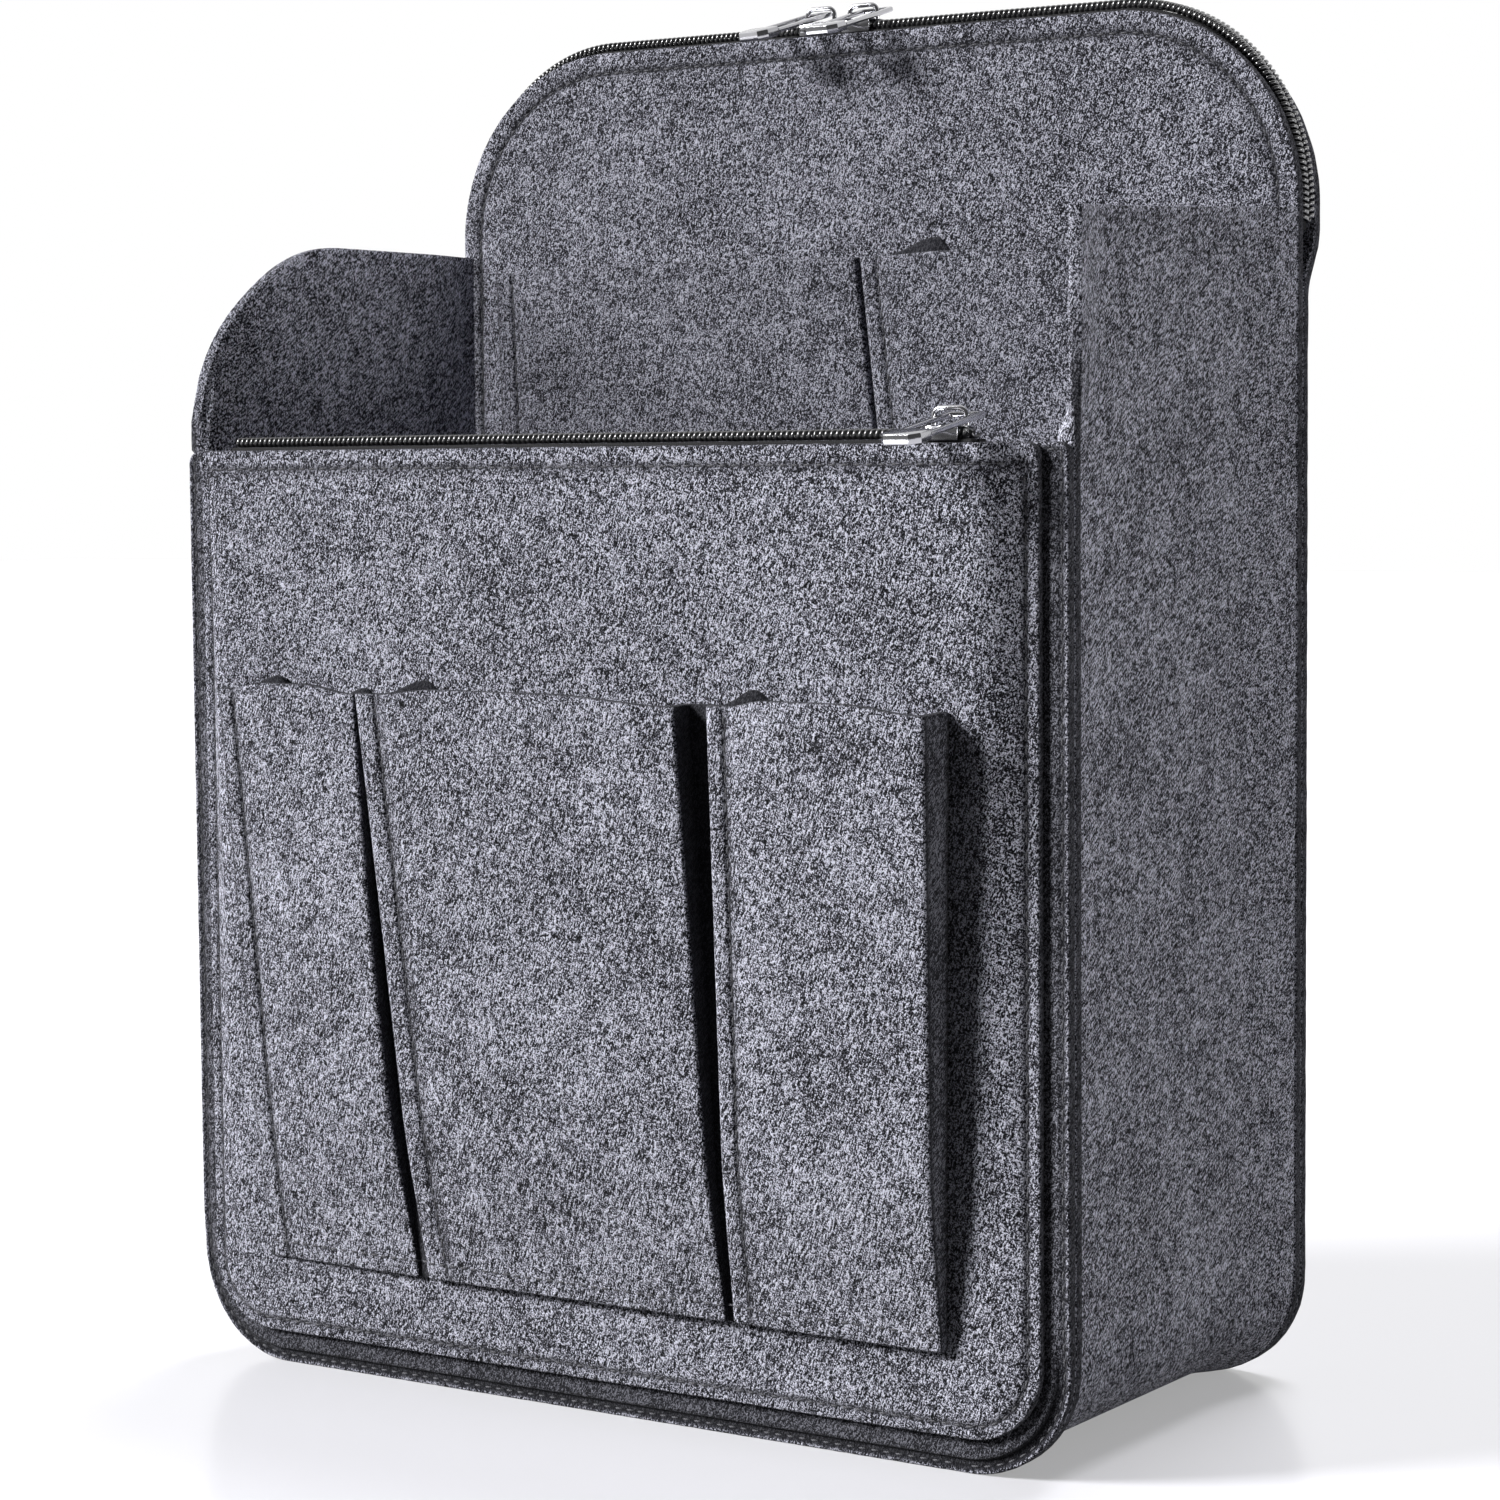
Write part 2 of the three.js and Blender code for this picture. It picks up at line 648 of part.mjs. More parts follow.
// The bail, a round-shouldered arch along the zipper that the pull tab's eye hangs on
function bailShape() {
  const half = bailLength / 2;
  const inner = half - bailWire;
  const foot = plateTop - fuse;
  const under = plateTop + bailWindow;
  const top = under + bailWire;
  const innerShoulder = bailShoulder - bailWire;
  const shape = new THREE.Shape();
  shape.moveTo(-half, foot);
  shape.lineTo(-inner, foot);
  shape.lineTo(-inner, under - innerShoulder);
  shape.absarc(innerShoulder - inner, under - innerShoulder, innerShoulder, Math.PI, Math.PI / 2, true);
  shape.lineTo(inner - innerShoulder, under);
  shape.absarc(inner - innerShoulder, under - innerShoulder, innerShoulder, Math.PI / 2, 0, true);
  shape.lineTo(inner, foot);
  shape.lineTo(half, foot);
  shape.lineTo(half, top - bailShoulder);
  shape.absarc(half - bailShoulder, top - bailShoulder, bailShoulder, 0, Math.PI / 2);
  shape.lineTo(bailShoulder - half, top);
  shape.absarc(bailShoulder - half, top - bailShoulder, bailShoulder, Math.PI / 2, Math.PI);
  return shape;
}

// A slider body: two plates joined by a post in the chain's slit, side flanges and the bail
function sliderBody() {
  const flangeInner = zipGap / 2 + runningGap;
  const flangeOuter = flangeInner + sideFlange;
  const flangeHalf = sliderLength / 2 - sideFlangeInset;
  const lowerTop = coilSeat - tapeThickness - runningGap;
  const lowerHalf = zipGap / 2 - tapeThickness - runningGap;
  const postEnd = sliderLength / 2 - postInset;
  const parts = [
    extruded(plateShape(sliderLength, flangeOuter, flangeOuter + sliderNoseExtra),
      plateThickness, drawnFromAbove, 0, 0, plateUnder),
    block([-flangeHalf, -lowerHalf, lowerTop - lowerPlateThickness], [flangeHalf, lowerHalf, lowerTop]),
    block(
      [postEnd - postLength, -postWidth / 2, lowerTop - fuse], [postEnd, postWidth / 2, plateUnder + fuse]),
    extruded(bailShape(), bailWire, drawnFromFront, 0, bailWire / 2, 0),
  ];
  for (const side of [-1, 1]) {
    const near = side * flangeInner;
    const far = side * flangeOuter;
    parts.push(block(
      [-flangeHalf, Math.min(near, far), coilSeat], [flangeHalf, Math.max(near, far), plateUnder + fuse]));
  }
  return toGeometry(joined(parts));
}

// A rectangle with bevelled corners, from above, between two y values
function bevelledShape(half, low, high, lowBevel, highBevel) {
  const shape = new THREE.Shape();
  shape.moveTo(lowBevel - half, low);
  shape.lineTo(half - lowBevel, low);
  shape.lineTo(half, low + lowBevel);
  shape.lineTo(half, high - highBevel);
  shape.lineTo(half - highBevel, high);
  shape.lineTo(highBevel - half, high);
  shape.lineTo(-half, high - highBevel);
  shape.lineTo(-half, low + lowBevel);
  return shape;
}

// A pull tab that points to -Y: a slotted bar with a thick bevelled block at its free end
function pullTab() {
  const half = pullWidth / 2;
  const heelBevel = pullRail / 2;
  const blockInner = pullBlockLength - pullReach;
  const bar = bevelledShape(half, -pullReach, pullHeel, pullBevel, heelBevel);
  const slot = new THREE.Path();
  slot.moveTo(-pullSlot / 2, blockInner);
  slot.lineTo(-pullSlot / 2, pullHeel - pullEyeBar);
  slot.lineTo(pullSlot / 2, pullHeel - pullEyeBar);
  slot.lineTo(pullSlot / 2, blockInner);
  bar.holes.push(slot);
  const end = bevelledShape(half, -pullReach, blockInner, pullBevel, heelBevel);
  return toGeometry(joined([
    extruded(bar, pullThickness, drawnFromAbove, 0, 0, -pullThickness / 2),
    extruded(end, pullBlockThickness, drawnFromAbove, 0, 0, -pullBlockThickness / 2),
  ]));
}

// A slider with its pull tab, whose eye hangs round the bail's left (-1) or right (1) leg
function addSlider(name, x, chainY, edgeHeight, nose, legSide, turn, sag) {
  const slider = new THREE.Group();
  slider.position.set(x, chainY, edgeHeight);
  const body = addPiece(slider, `${name}_slider`, sliderBody(), platedMetal());
  body.rotation.z = nose > 0 ? 0 : Math.PI;
  const pivot = new THREE.Group();
  pivot.position.set(legSide * pullOffset, 0, pivotHeight);
  pivot.rotation.z = -THREE.MathUtils.degToRad(turn);
  const pull = addPiece(pivot, `${name}_pull`, pullTab(), platedMetal());
  pull.rotation.x = THREE.MathUtils.degToRad(sag);
  slider.add(pivot);
  organizer.add(slider);
}

function addZipper(name, stations, chainY) {
  for (const [half, side] of [['front', -1], ['rear', 1]]) {
    addPiece(organizer, `${name}_tape_${half}`, sweep(tapeSection(side), stations, chainY), wovenTape());
    addPiece(organizer, `${name}_coil_${half}`, sweep(coilSection(side), stations, chainY), nylon());
  }
}

const frontShape = panelShape(-halfWidth, halfWidth, 0, frontHeight, bottomRadius, frontTopRadius);
addPiece(organizer, 'rear_panel', rearPanel(), felt(0x6c6d75));
addPiece(organizer, 'inner_back_panel', flatPanel(backShape(), gussetRear), felt(0x72737b));
addPiece(organizer, 'side_gusset', sideGusset(), felt(0x606169));
addPiece(organizer, 'front_wall', flatPanel(frontShape, 0), felt(0x6c6d75));
addPiece(organizer, 'zip_pocket_panel', zipPocketPanel(), felt(0x7b7c85));
addPiece(organizer, 'front_pocket_strip', frontPocketStrip(), felt(0x80818b));
addPiece(organizer, 'inner_pocket_strip', innerPocketStrip(), felt(0x65666e));
addZipper('back', archStations(), backChainY);
addZipper('pocket', straightStations(), pocketChainY);
addSlider('back_left', backLeftSliderX, backChainY, backHeight, 1, -1, backLeftTurn, backLeftSag);
addSlider('back_right', backRightSliderX, backChainY, backHeight, -1, 1, backRightTurn, backRightSag);
addSlider('pocket', pocketSliderX, pocketChainY, frontHeight, 1, 1, pocketTurn, pocketSag);
organizer.position.y = -depthCentre;

export default organizer;
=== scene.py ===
import math

import bmesh
import bpy
from mathutils import Matrix, Vector, noise
from mathutils.geometry import delaunay_2d_cdt


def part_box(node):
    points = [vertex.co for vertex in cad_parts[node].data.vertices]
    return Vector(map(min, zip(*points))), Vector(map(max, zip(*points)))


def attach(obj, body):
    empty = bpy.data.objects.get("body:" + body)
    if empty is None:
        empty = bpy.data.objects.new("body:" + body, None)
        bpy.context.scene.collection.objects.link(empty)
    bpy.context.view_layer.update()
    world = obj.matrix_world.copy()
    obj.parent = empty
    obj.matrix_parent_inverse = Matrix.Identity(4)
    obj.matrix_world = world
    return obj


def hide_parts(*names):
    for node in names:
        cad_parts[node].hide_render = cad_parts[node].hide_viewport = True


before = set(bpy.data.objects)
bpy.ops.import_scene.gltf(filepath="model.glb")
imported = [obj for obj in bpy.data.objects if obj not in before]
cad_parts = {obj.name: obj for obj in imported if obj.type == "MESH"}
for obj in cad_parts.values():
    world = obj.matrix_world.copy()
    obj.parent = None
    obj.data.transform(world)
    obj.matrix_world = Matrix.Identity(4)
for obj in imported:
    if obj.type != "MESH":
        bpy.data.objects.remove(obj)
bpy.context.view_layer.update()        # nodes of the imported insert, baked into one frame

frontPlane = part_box("front_wall")[0].y * 1000  # lengths below are in mm, from the front wall's face
feltThick = 3.0
print("frame loaded:", len(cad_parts), "nodes")


# Numbers and points

def toFrame(point):
    return Vector((point[0], point[1] + frontPlane, point[2])) / 1000


def blendOf(a, b, share):
    return a + (b - a) * share


def between(a, b, share):  # the first two numbers of two points
    return (blendOf(a[0], b[0], share), blendOf(a[1], b[1], share))


def shares(count):  # even steps from 0 to 1
    return [k / count for k in range(count + 1)]


def ramp(low, high, value):  # 0 at low and 1 at high, either way round
    return min(max((value - low) / (high - low), 0.0), 1.0)


def ease(low, high, value):  # the same with soft ends
    share = ramp(low, high, value)
    return share * share * (3 - 2 * share)


def dent(away, width):  # 1 on a line, fading to 0 beside it
    return math.exp(-(away / width) ** 2)


def ringRound(spot, first, second, wide, thick, sides):  # points round a thread or wire
    angles = [2 * math.pi * share for share in shares(sides)[:-1]]
    return [tuple(spot + first * (wide * math.cos(a)) + second * (thick * math.sin(a))) for a in angles]


slackWaves = ((70, 0.34, 0.0), (19, 0.12, 7.3))  # length, depth and seed of the unevenness of hanging felt


def slackAt(x, z, look, distance):  # none along the seams
    waves = [depth * noise.noise(Vector((x / length, z / length, look["slackSeed"] + seed)))
             for length, depth, seed in slackWaves]
    return sum(waves) * ease(*look["slackRun"], distance) * ease(*look["slackTop"], z)


# Shaders

class Strand:  # a socket that can be reckoned with
    def __init__(self, sheet, socket):
        self.sheet = sheet
        self.socket = socket

    def reckon(self, operation, first, second=None):
        sockets = {0: first} if second is None else {0: first, 1: second}
        return self.sheet.add("ShaderNodeMath", {"operation": operation}, sockets)

    def __add__(self, other):
        return self.reckon("ADD", self, other)

    def __radd__(self, other):
        return self.reckon("ADD", other, self)

    def __sub__(self, other):
        return self.reckon("SUBTRACT", self, other)

    def __rsub__(self, other):
        return self.reckon("SUBTRACT", other, self)

    def __mul__(self, other):
        return self.reckon("MULTIPLY", self, other)

    def __rmul__(self, other):
        return self.reckon("MULTIPLY", other, self)

    def most(self, other):
        return self.reckon("MAXIMUM", self, other)

    def least(self, other):
        return self.reckon("MINIMUM", self, other)


class Sheet:  # a material's or a world's nodes
    def __init__(self, owner):
        owner.use_nodes = True
        self.owner = owner
        self.tree = owner.node_tree
        self.tree.nodes.clear()

    def add(self, kind, settings=None, sockets=None, output=0):
        node = self.tree.nodes.new(kind)
        for name, value in (settings or {}).items():
            setattr(node, name, value)
        for name, value in (sockets or {}).items():
            if isinstance(value, Strand):
                self.tree.links.new(value.socket, node.inputs[name])
            else:
                node.inputs[name].default_value = value
        return Strand(self, node.outputs[output]) if node.outputs else node

    def place(self):
        return self.add("ShaderNodeTexCoord", None, None, "Object")

    def laid(self, place, turn, size):  # turned and stretched
        return self.add("ShaderNodeMapping", {"vector_type": "TEXTURE"}, {
            "Vector": place, "Rotation": turn, "Scale": size})

    def noise(self, place, scale, detail, rough=0.5):
        return self.add("ShaderNodeTexNoise", None, {
            "Vector": place, "Scale": scale, "Detail": detail, "Roughness": rough})

    def wave(self, place, way, scale, bent=0.0):
        return self.add("ShaderNodeTexWave", {"bands_direction": way}, {
            "Vector": place, "Scale": scale, "Distortion": bent})

    def graded(self, share, stops):  # by (place, colour) stops
        colour = self.add("ShaderNodeValToRGB", None, {"Fac": share})
        elements = colour.socket.node.color_ramp.elements
        while len(elements) < len(stops):
            elements.new(0.5)
        for element, (place, shade) in zip(elements, stops):
            element.position = place
            element.color = shade
        return colour

    def mixed(self, share, first, second):  # colours
        return self.add("ShaderNodeMix", {"data_type": "RGBA"}, {0: share, 6: first, 7: second}, 2)

    def bump(self, strength, depth, height):
        return self.add("ShaderNodeBump", None, {"Strength": strength, "Distance": depth, "Height": height})

    def surface(self, sockets):
        return self.add("ShaderNodeBsdfPrincipled", None, sockets)

    def finish(self, surface):
        self.add("ShaderNodeOutputMaterial", None, {"Surface": surface})
        return self.owner


def newSheet(name):
    return Sheet(bpy.data.materials.new(name))


def grey(level, tint=(1.0, 1.0, 1.0)):
    return (level * tint[0], level * tint[1], level * tint[2], 1.0)


feltLook = {
    "tint": (0.93, 0.935, 1.16), "paleTint": (0.945, 0.95, 1.1),
    "stops": ((0.0, 0.006, "tint"), (0.3, 0.042, "tint"), (0.56, 0.168, "tint"), (1.0, 0.78, "paleTint")),
    "fibre": (0.0024, 0.00034, 0.00034),  # length and width of a fibre, in metres
    "lays": ((0.2, 0.35, 0.5), (0.9, -0.6, 1.7), (-0.5, 1.1, 2.6), (1.4, 0.5, -0.8)),
    "tuft": (0.0030, 0.0010, 0.0010), "tuftLay": (0.7, 0.2, 1.1), "cloud": 190.0, "patch": 42.0,
    "fine": 3.95, "brightMean": 0.58, "dimMean": 0.42, "coarse": 0.86, "cloudShare": 0.8, "patchShare": 0.4,
    # the dark colour and its strength, for the raw edges' darker tone and for painted shade
    "cut": 0.018, "edgeAndShadeMix": 0.85, "bump": 0.6, "bumpDepth": 0.0004, "patchBump": 1.5,
}


def makeFelt():
    look = feltLook
    sheet = newSheet("heatherFelt")
    place = sheet.place()
    grains = [sheet.noise(sheet.laid(place, turn, look["fibre"]), 1.0, 1.0, 0.6) for turn in look["lays"]]
    bright = grains[0].most(grains[1]).most(grains[2])  # pale fibres that lie on top
    dim = grains[1].least(grains[2]).least(grains[3])  # gaps that let the dark ground show
    tuft = sheet.noise(sheet.laid(place, look["tuftLay"], look["tuft"]), 1.0, 1.5, 0.6)
    cloud = sheet.noise(place, look["cloud"], 2.0, 0.55)
    patch = sheet.noise(place, look["patch"], 1.0)
    fine = (bright - look["brightMean"]) * look["fine"] + (dim - look["dimMean"]) * look["fine"]
    coarse = (tuft - 0.5) + (cloud - 0.5) * look["cloudShare"] + (patch - 0.5) * look["patchShare"]
    wool = 0.5 + fine + coarse * look["coarse"]
    colour = sheet.graded(wool, [(place, grey(level, look[tint])) for place, level, tint in look["stops"]])
    # per point darkening: the raw edges' darker tone and painted shade in gaps, grooves, rims and panels
    cut = sheet.add("ShaderNodeAttribute", {"attribute_name": "cutEdgeAndPaintedShade"}, None, "Fac")
    return sheet.finish(sheet.surface({
        "Base Color": sheet.mixed(cut * look["edgeAndShadeMix"], colour, grey(look["cut"], look["tint"])),
        "Roughness": 0.93, "Specular IOR Level": 0.02, "Sheen Weight": 0.08, "Sheen Roughness": 0.5,
        "Normal": sheet.bump(look["bump"], look["bumpDepth"], wool + (patch - 0.5) * look["patchBump"])}))


def makeThread():
    sheet = newSheet("greyThread")
    ply = sheet.wave(sheet.place(), "DIAGONAL", 900.0, 1.0)
    return sheet.finish(sheet.surface({
        "Base Color": sheet.mixed(ply, (0.025, 0.025, 0.03, 1), (0.11, 0.11, 0.125, 1)),
        "Roughness": 0.6, "Normal": sheet.bump(0.4, 0.0001, ply)}))


def makeTapeCloth():
    sheet = newSheet("wovenTape")
    place = sheet.place()
    weave = sheet.wave(place, "X", 520.0) * sheet.wave(place, "Z", 520.0)
    return sheet.finish(sheet.surface({
        "Base Color": sheet.mixed(weave, (0.006, 0.006, 0.007, 1), (0.022, 0.022, 0.025, 1)),
        "Roughness": 0.8, "Specular IOR Level": 0.3, "Normal": sheet.bump(0.5, 0.0002, weave)}))


def makeNylon():
    sheet = newSheet("coilNylon")
    wear = sheet.noise(sheet.place(), 700.0, 2.0)
    return sheet.finish(sheet.surface({
        "Base Color": sheet.mixed(wear, (0.006, 0.006, 0.007, 1), (0.016, 0.016, 0.018, 1)),
        "Roughness": 0.22 + wear * 0.16, "Specular IOR Level": 1.0,
        "Coat Weight": 1.0, "Coat Roughness": 0.16}))


def makePlating():
    sheet = newSheet("nickelPlating")
    place = sheet.place()
    haze = sheet.noise(place, 240.0, 3.0)
    marks = sheet.noise(sheet.laid(place, (0.2, 0.1, 0.5), (0.004, 0.0003, 0.0003)), 1.0, 2.0)
    return sheet.finish(sheet.surface({
        "Base Color": sheet.mixed(haze, (0.4, 0.4, 0.42, 1), (0.52, 0.52, 0.54, 1)), "Metallic": 1.0,
        "Roughness": 0.07 + haze * 0.12, "Normal": sheet.bump(0.06, 0.0001, marks)}))


heatherFelt = makeFelt()
thread = makeThread()
tapeCloth = makeTapeCloth()
nylon = makeNylon()
plating = makePlating()
print("materials made")


# Pieces

def makePiece(name, points, faces, material, body="organizer_body", stands=(), cuts=None, sharp=0):
    mesh = bpy.data.meshes.new(name)
    mesh.from_pydata([toFrame(point) for point in points], [], faces)
    work = bmesh.new()
    work.from_mesh(mesh)
    bmesh.ops.recalc_face_normals(work, faces=work.faces)
    work.to_mesh(mesh)
    work.free()
    mesh.shade_smooth()
    if sharp:
        mesh.set_sharp_from_angle(angle=math.radians(sharp))
    # per point darkening: the raw edges' darker tone and painted shade
    if cuts:
        mesh.attributes.new("cutEdgeAndPaintedShade", "FLOAT", "POINT").data.foreach_set("value", cuts)
    mesh.materials.append(material)
    piece = bpy.data.objects.new(name, mesh)
    bpy.context.scene.collection.objects.link(piece)
    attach(piece, body)
    if stands:
        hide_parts(*stands)
    return piece


def panelRim(left, right, low, high, lowRadius, highRadius, step):  # x, z and outward direction
    corners = ((right - lowRadius, low + lowRadius, lowRadius, -90),
               (right - highRadius, high - highRadius, highRadius, 0),
               (left + highRadius, high - highRadius, highRadius, 90),
               (left + lowRadius, low + lowRadius, lowRadius, 180))
    rim = []
    for number, (x, z, radius, start) in enumerate(corners):
        turns = max(4, round(radius * math.pi / 2 / step))
        for k in range(turns + 1):
            angle = math.radians(start + 90 * k / turns)
            rim.append((x + radius * math.cos(angle), z + radius * math.sin(angle),
                        math.cos(angle), math.sin(angle)))
        nextX, nextZ, nextRadius, nextStart = corners[(number + 1) % 4]
        ahead = math.radians(nextStart)
        lastX, lastZ, nx, nz = rim[-1]
        goalX, goalZ = nextX + nextRadius * math.cos(ahead), nextZ + nextRadius * math.sin(ahead)
        count = round(math.hypot(goalX - lastX, goalZ - lastZ) / step)
        for k in range(1, count):
            rim.append((blendOf(lastX, goalX, k / count), blendOf(lastZ, goalZ, k / count), nx, nz))
    return rim


def rimDistance(x, z, box):  # from a point in a panel to its edge
    left, right, low, high, lowRadius, highRadius = box
    middleX, middleZ = (left + right) / 2, (low + high) / 2
    radius = highRadius if z > middleZ else lowRadius
    acrossX = abs(x - middleX) - (right - left) / 2 + radius
    acrossZ = abs(z - middleZ) - (high - low) / 2 + radius
    return radius - math.hypot(max(acrossX, 0), max(acrossZ, 0)) - min(max(acrossX, acrossZ), 0)


cutLook = {
    "round": 0.45, "rough": 0.13, "grain": 2.1, "layer": 0.9,
    "step": 2.0, "grid": 4.2, "netInset": 2.2, "clear": 1.5,
}
# the sewing's shade and its width are painted shade in the stitch grooves
sewing = {
    "pitch": 3.2, "bite": 0.9, "radius": 0.3, "thin": 0.55, "rise": 0.12, "sunk": 0.22, "ahead": 0.2,
    "sides": 6, "spans": 4, "trackStep": 1.5, "shade": 0.8, "shadeWidth": 0.75,
}
forward = (0, -1, 0)  # out of the felt's front faces
backward = (0, 1, 0)


def seamShade(away):  # painted shade in the groove along a row of stitches
    return sewing["shade"] * dent(away, sewing["shadeWidth"])


def groove(look, away):  # how far a row of stitches pulls the felt in
    return look["seamDepth"] * dent(away, look["seamWidth"])


def tubeFaces(rings, sides, base=0, outward=False):
    # round a tube of so many rings of points and over both ends, wound as the rings turn
    faces = []
    for r in range(rings - 1):
        for k in range(sides):
            a, b = base + r * sides + k, base + r * sides + (k + 1) % sides
            faces.append((a, b, b + sides, a + sides))
    first, last = (tuple(start + k for k in range(sides)) for start in (base, base + (rings - 1) * sides))
    return faces + ([first[::-1], last] if outward else [first, last[::-1]])


def panelNet(box, rim, lines):  # points in a panel: its rim, rows along its seams and an even grid
    soft, inset, grid = cutLook["round"], cutLook["netInset"], cutLook["grid"]
    net = [(x - nx * soft * inset, z - nz * soft * inset) for x, z, nx, nz in rim]
    for line in lines:
        net += [(x - nx * line, z - nz * line) for x, z, nx, nz in rim]
    clear = max(lines) + cutLook["clear"]
    for i in range(1, int((box[1] - box[0]) / grid)):
        for j in range(1, int((box[3] - box[2]) / grid)):
            x, z = box[0] + i * grid, box[2] + j * grid
            if rimDistance(x, z, box) > clear:
                net.append((x, z))
    return [Vector(spot) for spot in net]


def feltPanel(name, look, frontAt, stands, shadeAt, shadeDepth=0.0):
    # A cut sheet: both faces over one net of points, with a rounded raw edge between them
    rim = panelRim(*look["box"], cutLook["step"])
    count = len(rim)
    border = [(i, (i + 1) % count) for i in range(count)]
    net = panelNet(look["box"], rim, look["lines"])
    spots, _, triangles, origins, _, _ = delaunay_2d_cdt(net, border, [], 1, 1e-4)
    edgeOf = {first: number for number, origin in enumerate(origins) for first in origin if first < count}
    points, cuts = [], []
    for depth in (0.0, feltThick):
        for spot in spots:
            points.append((spot.x, frontAt(spot.x, spot.y, depth), spot.y))
            cuts.append(shadeAt(spot.x, spot.y) if depth == shadeDepth else 0.0)
    half = len(spots)
    faces = [tuple(t) for t in triangles] + [tuple(half + v for v in reversed(t)) for t in triangles]
    rings = [[edgeOf[i] for i in range(count)]]
    soft, grain = cutLook["round"], cutLook["grain"]
    lip = [(soft, 0.0, 0.1), (soft * 0.3, soft * 0.3, 0.6), (0.0, soft * 1.1, 1.0)]  # inset, depth and shade
    lip += [(inset, feltThick - depth, cut) for inset, depth, cut in lip[::-1]]
    for inset, depth, cut in lip:
        face = 0.0 if depth < feltThick / 2 else feltThick
        ring = []
        for x, z, nx, nz in rim:
            rough = cutLook["rough"] * noise.noise(Vector((x / grain, z / grain, depth * cutLook["layer"])))
            x, z = x - nx * (inset + rough), z - nz * (inset + rough)
            ring.append(len(points))
            points.append((x, frontAt(x, z, face) + depth - face, z))
            cuts.append(cut)
        rings.append(ring)
    rings.append([half + edgeOf[i] for i in range(count)])
    for one, other in zip(rings, rings[1:]):
        faces += [(one[i], one[k], other[k], other[i]) for i, k in border]
    return makePiece(name, points, faces, heatherFelt, stands=stands, cuts=cuts)


def bandMesh(rows):  # a closed felt band through rows of (face points, rear points), filled at both ends
    width = len(rows[0][0])
    ring = 2 * width
    points = []
    for face, rear in rows:
        points += face + rear[::-1]
    faces = tubeFaces(len(rows), ring)[:-2]
    for start in (0, (len(rows) - 1) * ring):
        for i in range(width - 1):
            faces.append((start + i, start + i + 1, start + ring - 2 - i, start + ring - 1 - i))
    return points, faces


def pinched(face, rear, inset, placed):  # a row of a band, its two faces drawn together by an inset
    return [[placed(spot, *between(spot, far, inset / feltThick)) for spot, far in zip(line, other)]
            for line, other in ((face, rear), (rear, face))]


def sewAlong(track, points, faces):  # adds small thread bars along (point, outward) pairs
    look = sewing
    spots = [Vector(point) for point, _ in track]
    outs = [Vector(out) for _, out in track]
    reach = [0.0]
    for a, b in zip(spots, spots[1:]):
        reach.append(reach[-1] + (b - a).length)

    def at(length):
        i = 0
        while i < len(reach) - 2 and reach[i + 1] < length:
            i += 1
        share = (length - reach[i]) / max(reach[i + 1] - reach[i], 1e-6)
        return spots[i].lerp(spots[i + 1], share), outs[i].lerp(outs[i + 1], share).normalized()

    spans, sides = look["spans"], look["sides"]
    length = look["pitch"] - look["bite"]
    for n in range(int(reach[-1] / look["pitch"])):
        start = n * look["pitch"] + look["bite"] / 2
        faces += tubeFaces(spans + 1, sides, len(points))
        for share in shares(spans):
            spot, out = at(start + length * share)
            ahead, _ = at(start + length * share + look["ahead"])
            side = (ahead - spot).normalized().cross(out).normalized()
            arch = math.sin(math.pi * share)
            centre = spot + out * (look["rise"] * arch - look["sunk"] * (1 - arch))
            thick = look["radius"] * blendOf(look["thin"], 1.0, arch)
            points += ringRound(centre, out, side, thick, thick, sides)


def stitchPiece(name, *tracks):  # rows of stitches as one piece
    points, faces = [], []
    for track in tracks:
        sewAlong(track, points, faces)
    makePiece(name, points, faces, thread)


# Front wall, the sheet that the zip pocket is sewn on

# the rim, foot, crease and seam shades below are painted shade
frontWall = {
    "box": (-124, 124, 0, 226, 26, 3), "lines": (1.2, 1.7, 2.3, 2.8, 3.1, 3.4, 3.7, 4.4),
    "seam": 1.7, "seamDepth": 0.45, "seamWidth": 0.55, "seamShade": 0.4,
    "rimShade": 0.7, "footShade": 0.88, "footFull": 10, "rimWidth": 8.5, "rimFade": 1.5,
    "step": 3.4, "stepSoft": 0.3, "stepDepth": 1.1, "stepTop": 40.0, "stepFull": 15,
    "crease": 3.2, "creaseWidth": 0.5, "creaseShade": 0.3,
}


def frontWallAt(x, z, depth):
    look = frontWall
    if depth > 0:
        return depth
    distance = rimDistance(x, z, look["box"])
    step, soft = look["step"], look["stepSoft"]
    pressed = look["stepDepth"] * ease(step + soft, step - soft, distance)
    return groove(look, distance - look["seam"]) + pressed * ease(look["stepTop"], look["stepFull"], z)


def frontWallShade(x, z):  # painted shade: the rim round the zip pocket panel is darker, most of all at its foot, with painted shade along the crease and the seam
    look = frontWall
    distance = rimDistance(x, z, look["box"])
    foot = ease(look["stepTop"], look["footFull"], z)
    rim = ease(look["rimWidth"] + look["rimFade"], look["rimWidth"], distance)
    crease = look["creaseShade"] * dent(distance - look["crease"], look["creaseWidth"]) * foot
    seam = look["seamShade"] * seamShade(distance - look["seam"])
    return blendOf(look["rimShade"], look["footShade"], foot) * rim + crease + seam


wallPiece = feltPanel("frontWall", frontWall, frontWallAt, ["front_wall"], frontWallShade)
print("front wall made")


# Zip pocket panel: flat at its lower seam, leaning out to the zipper at the top

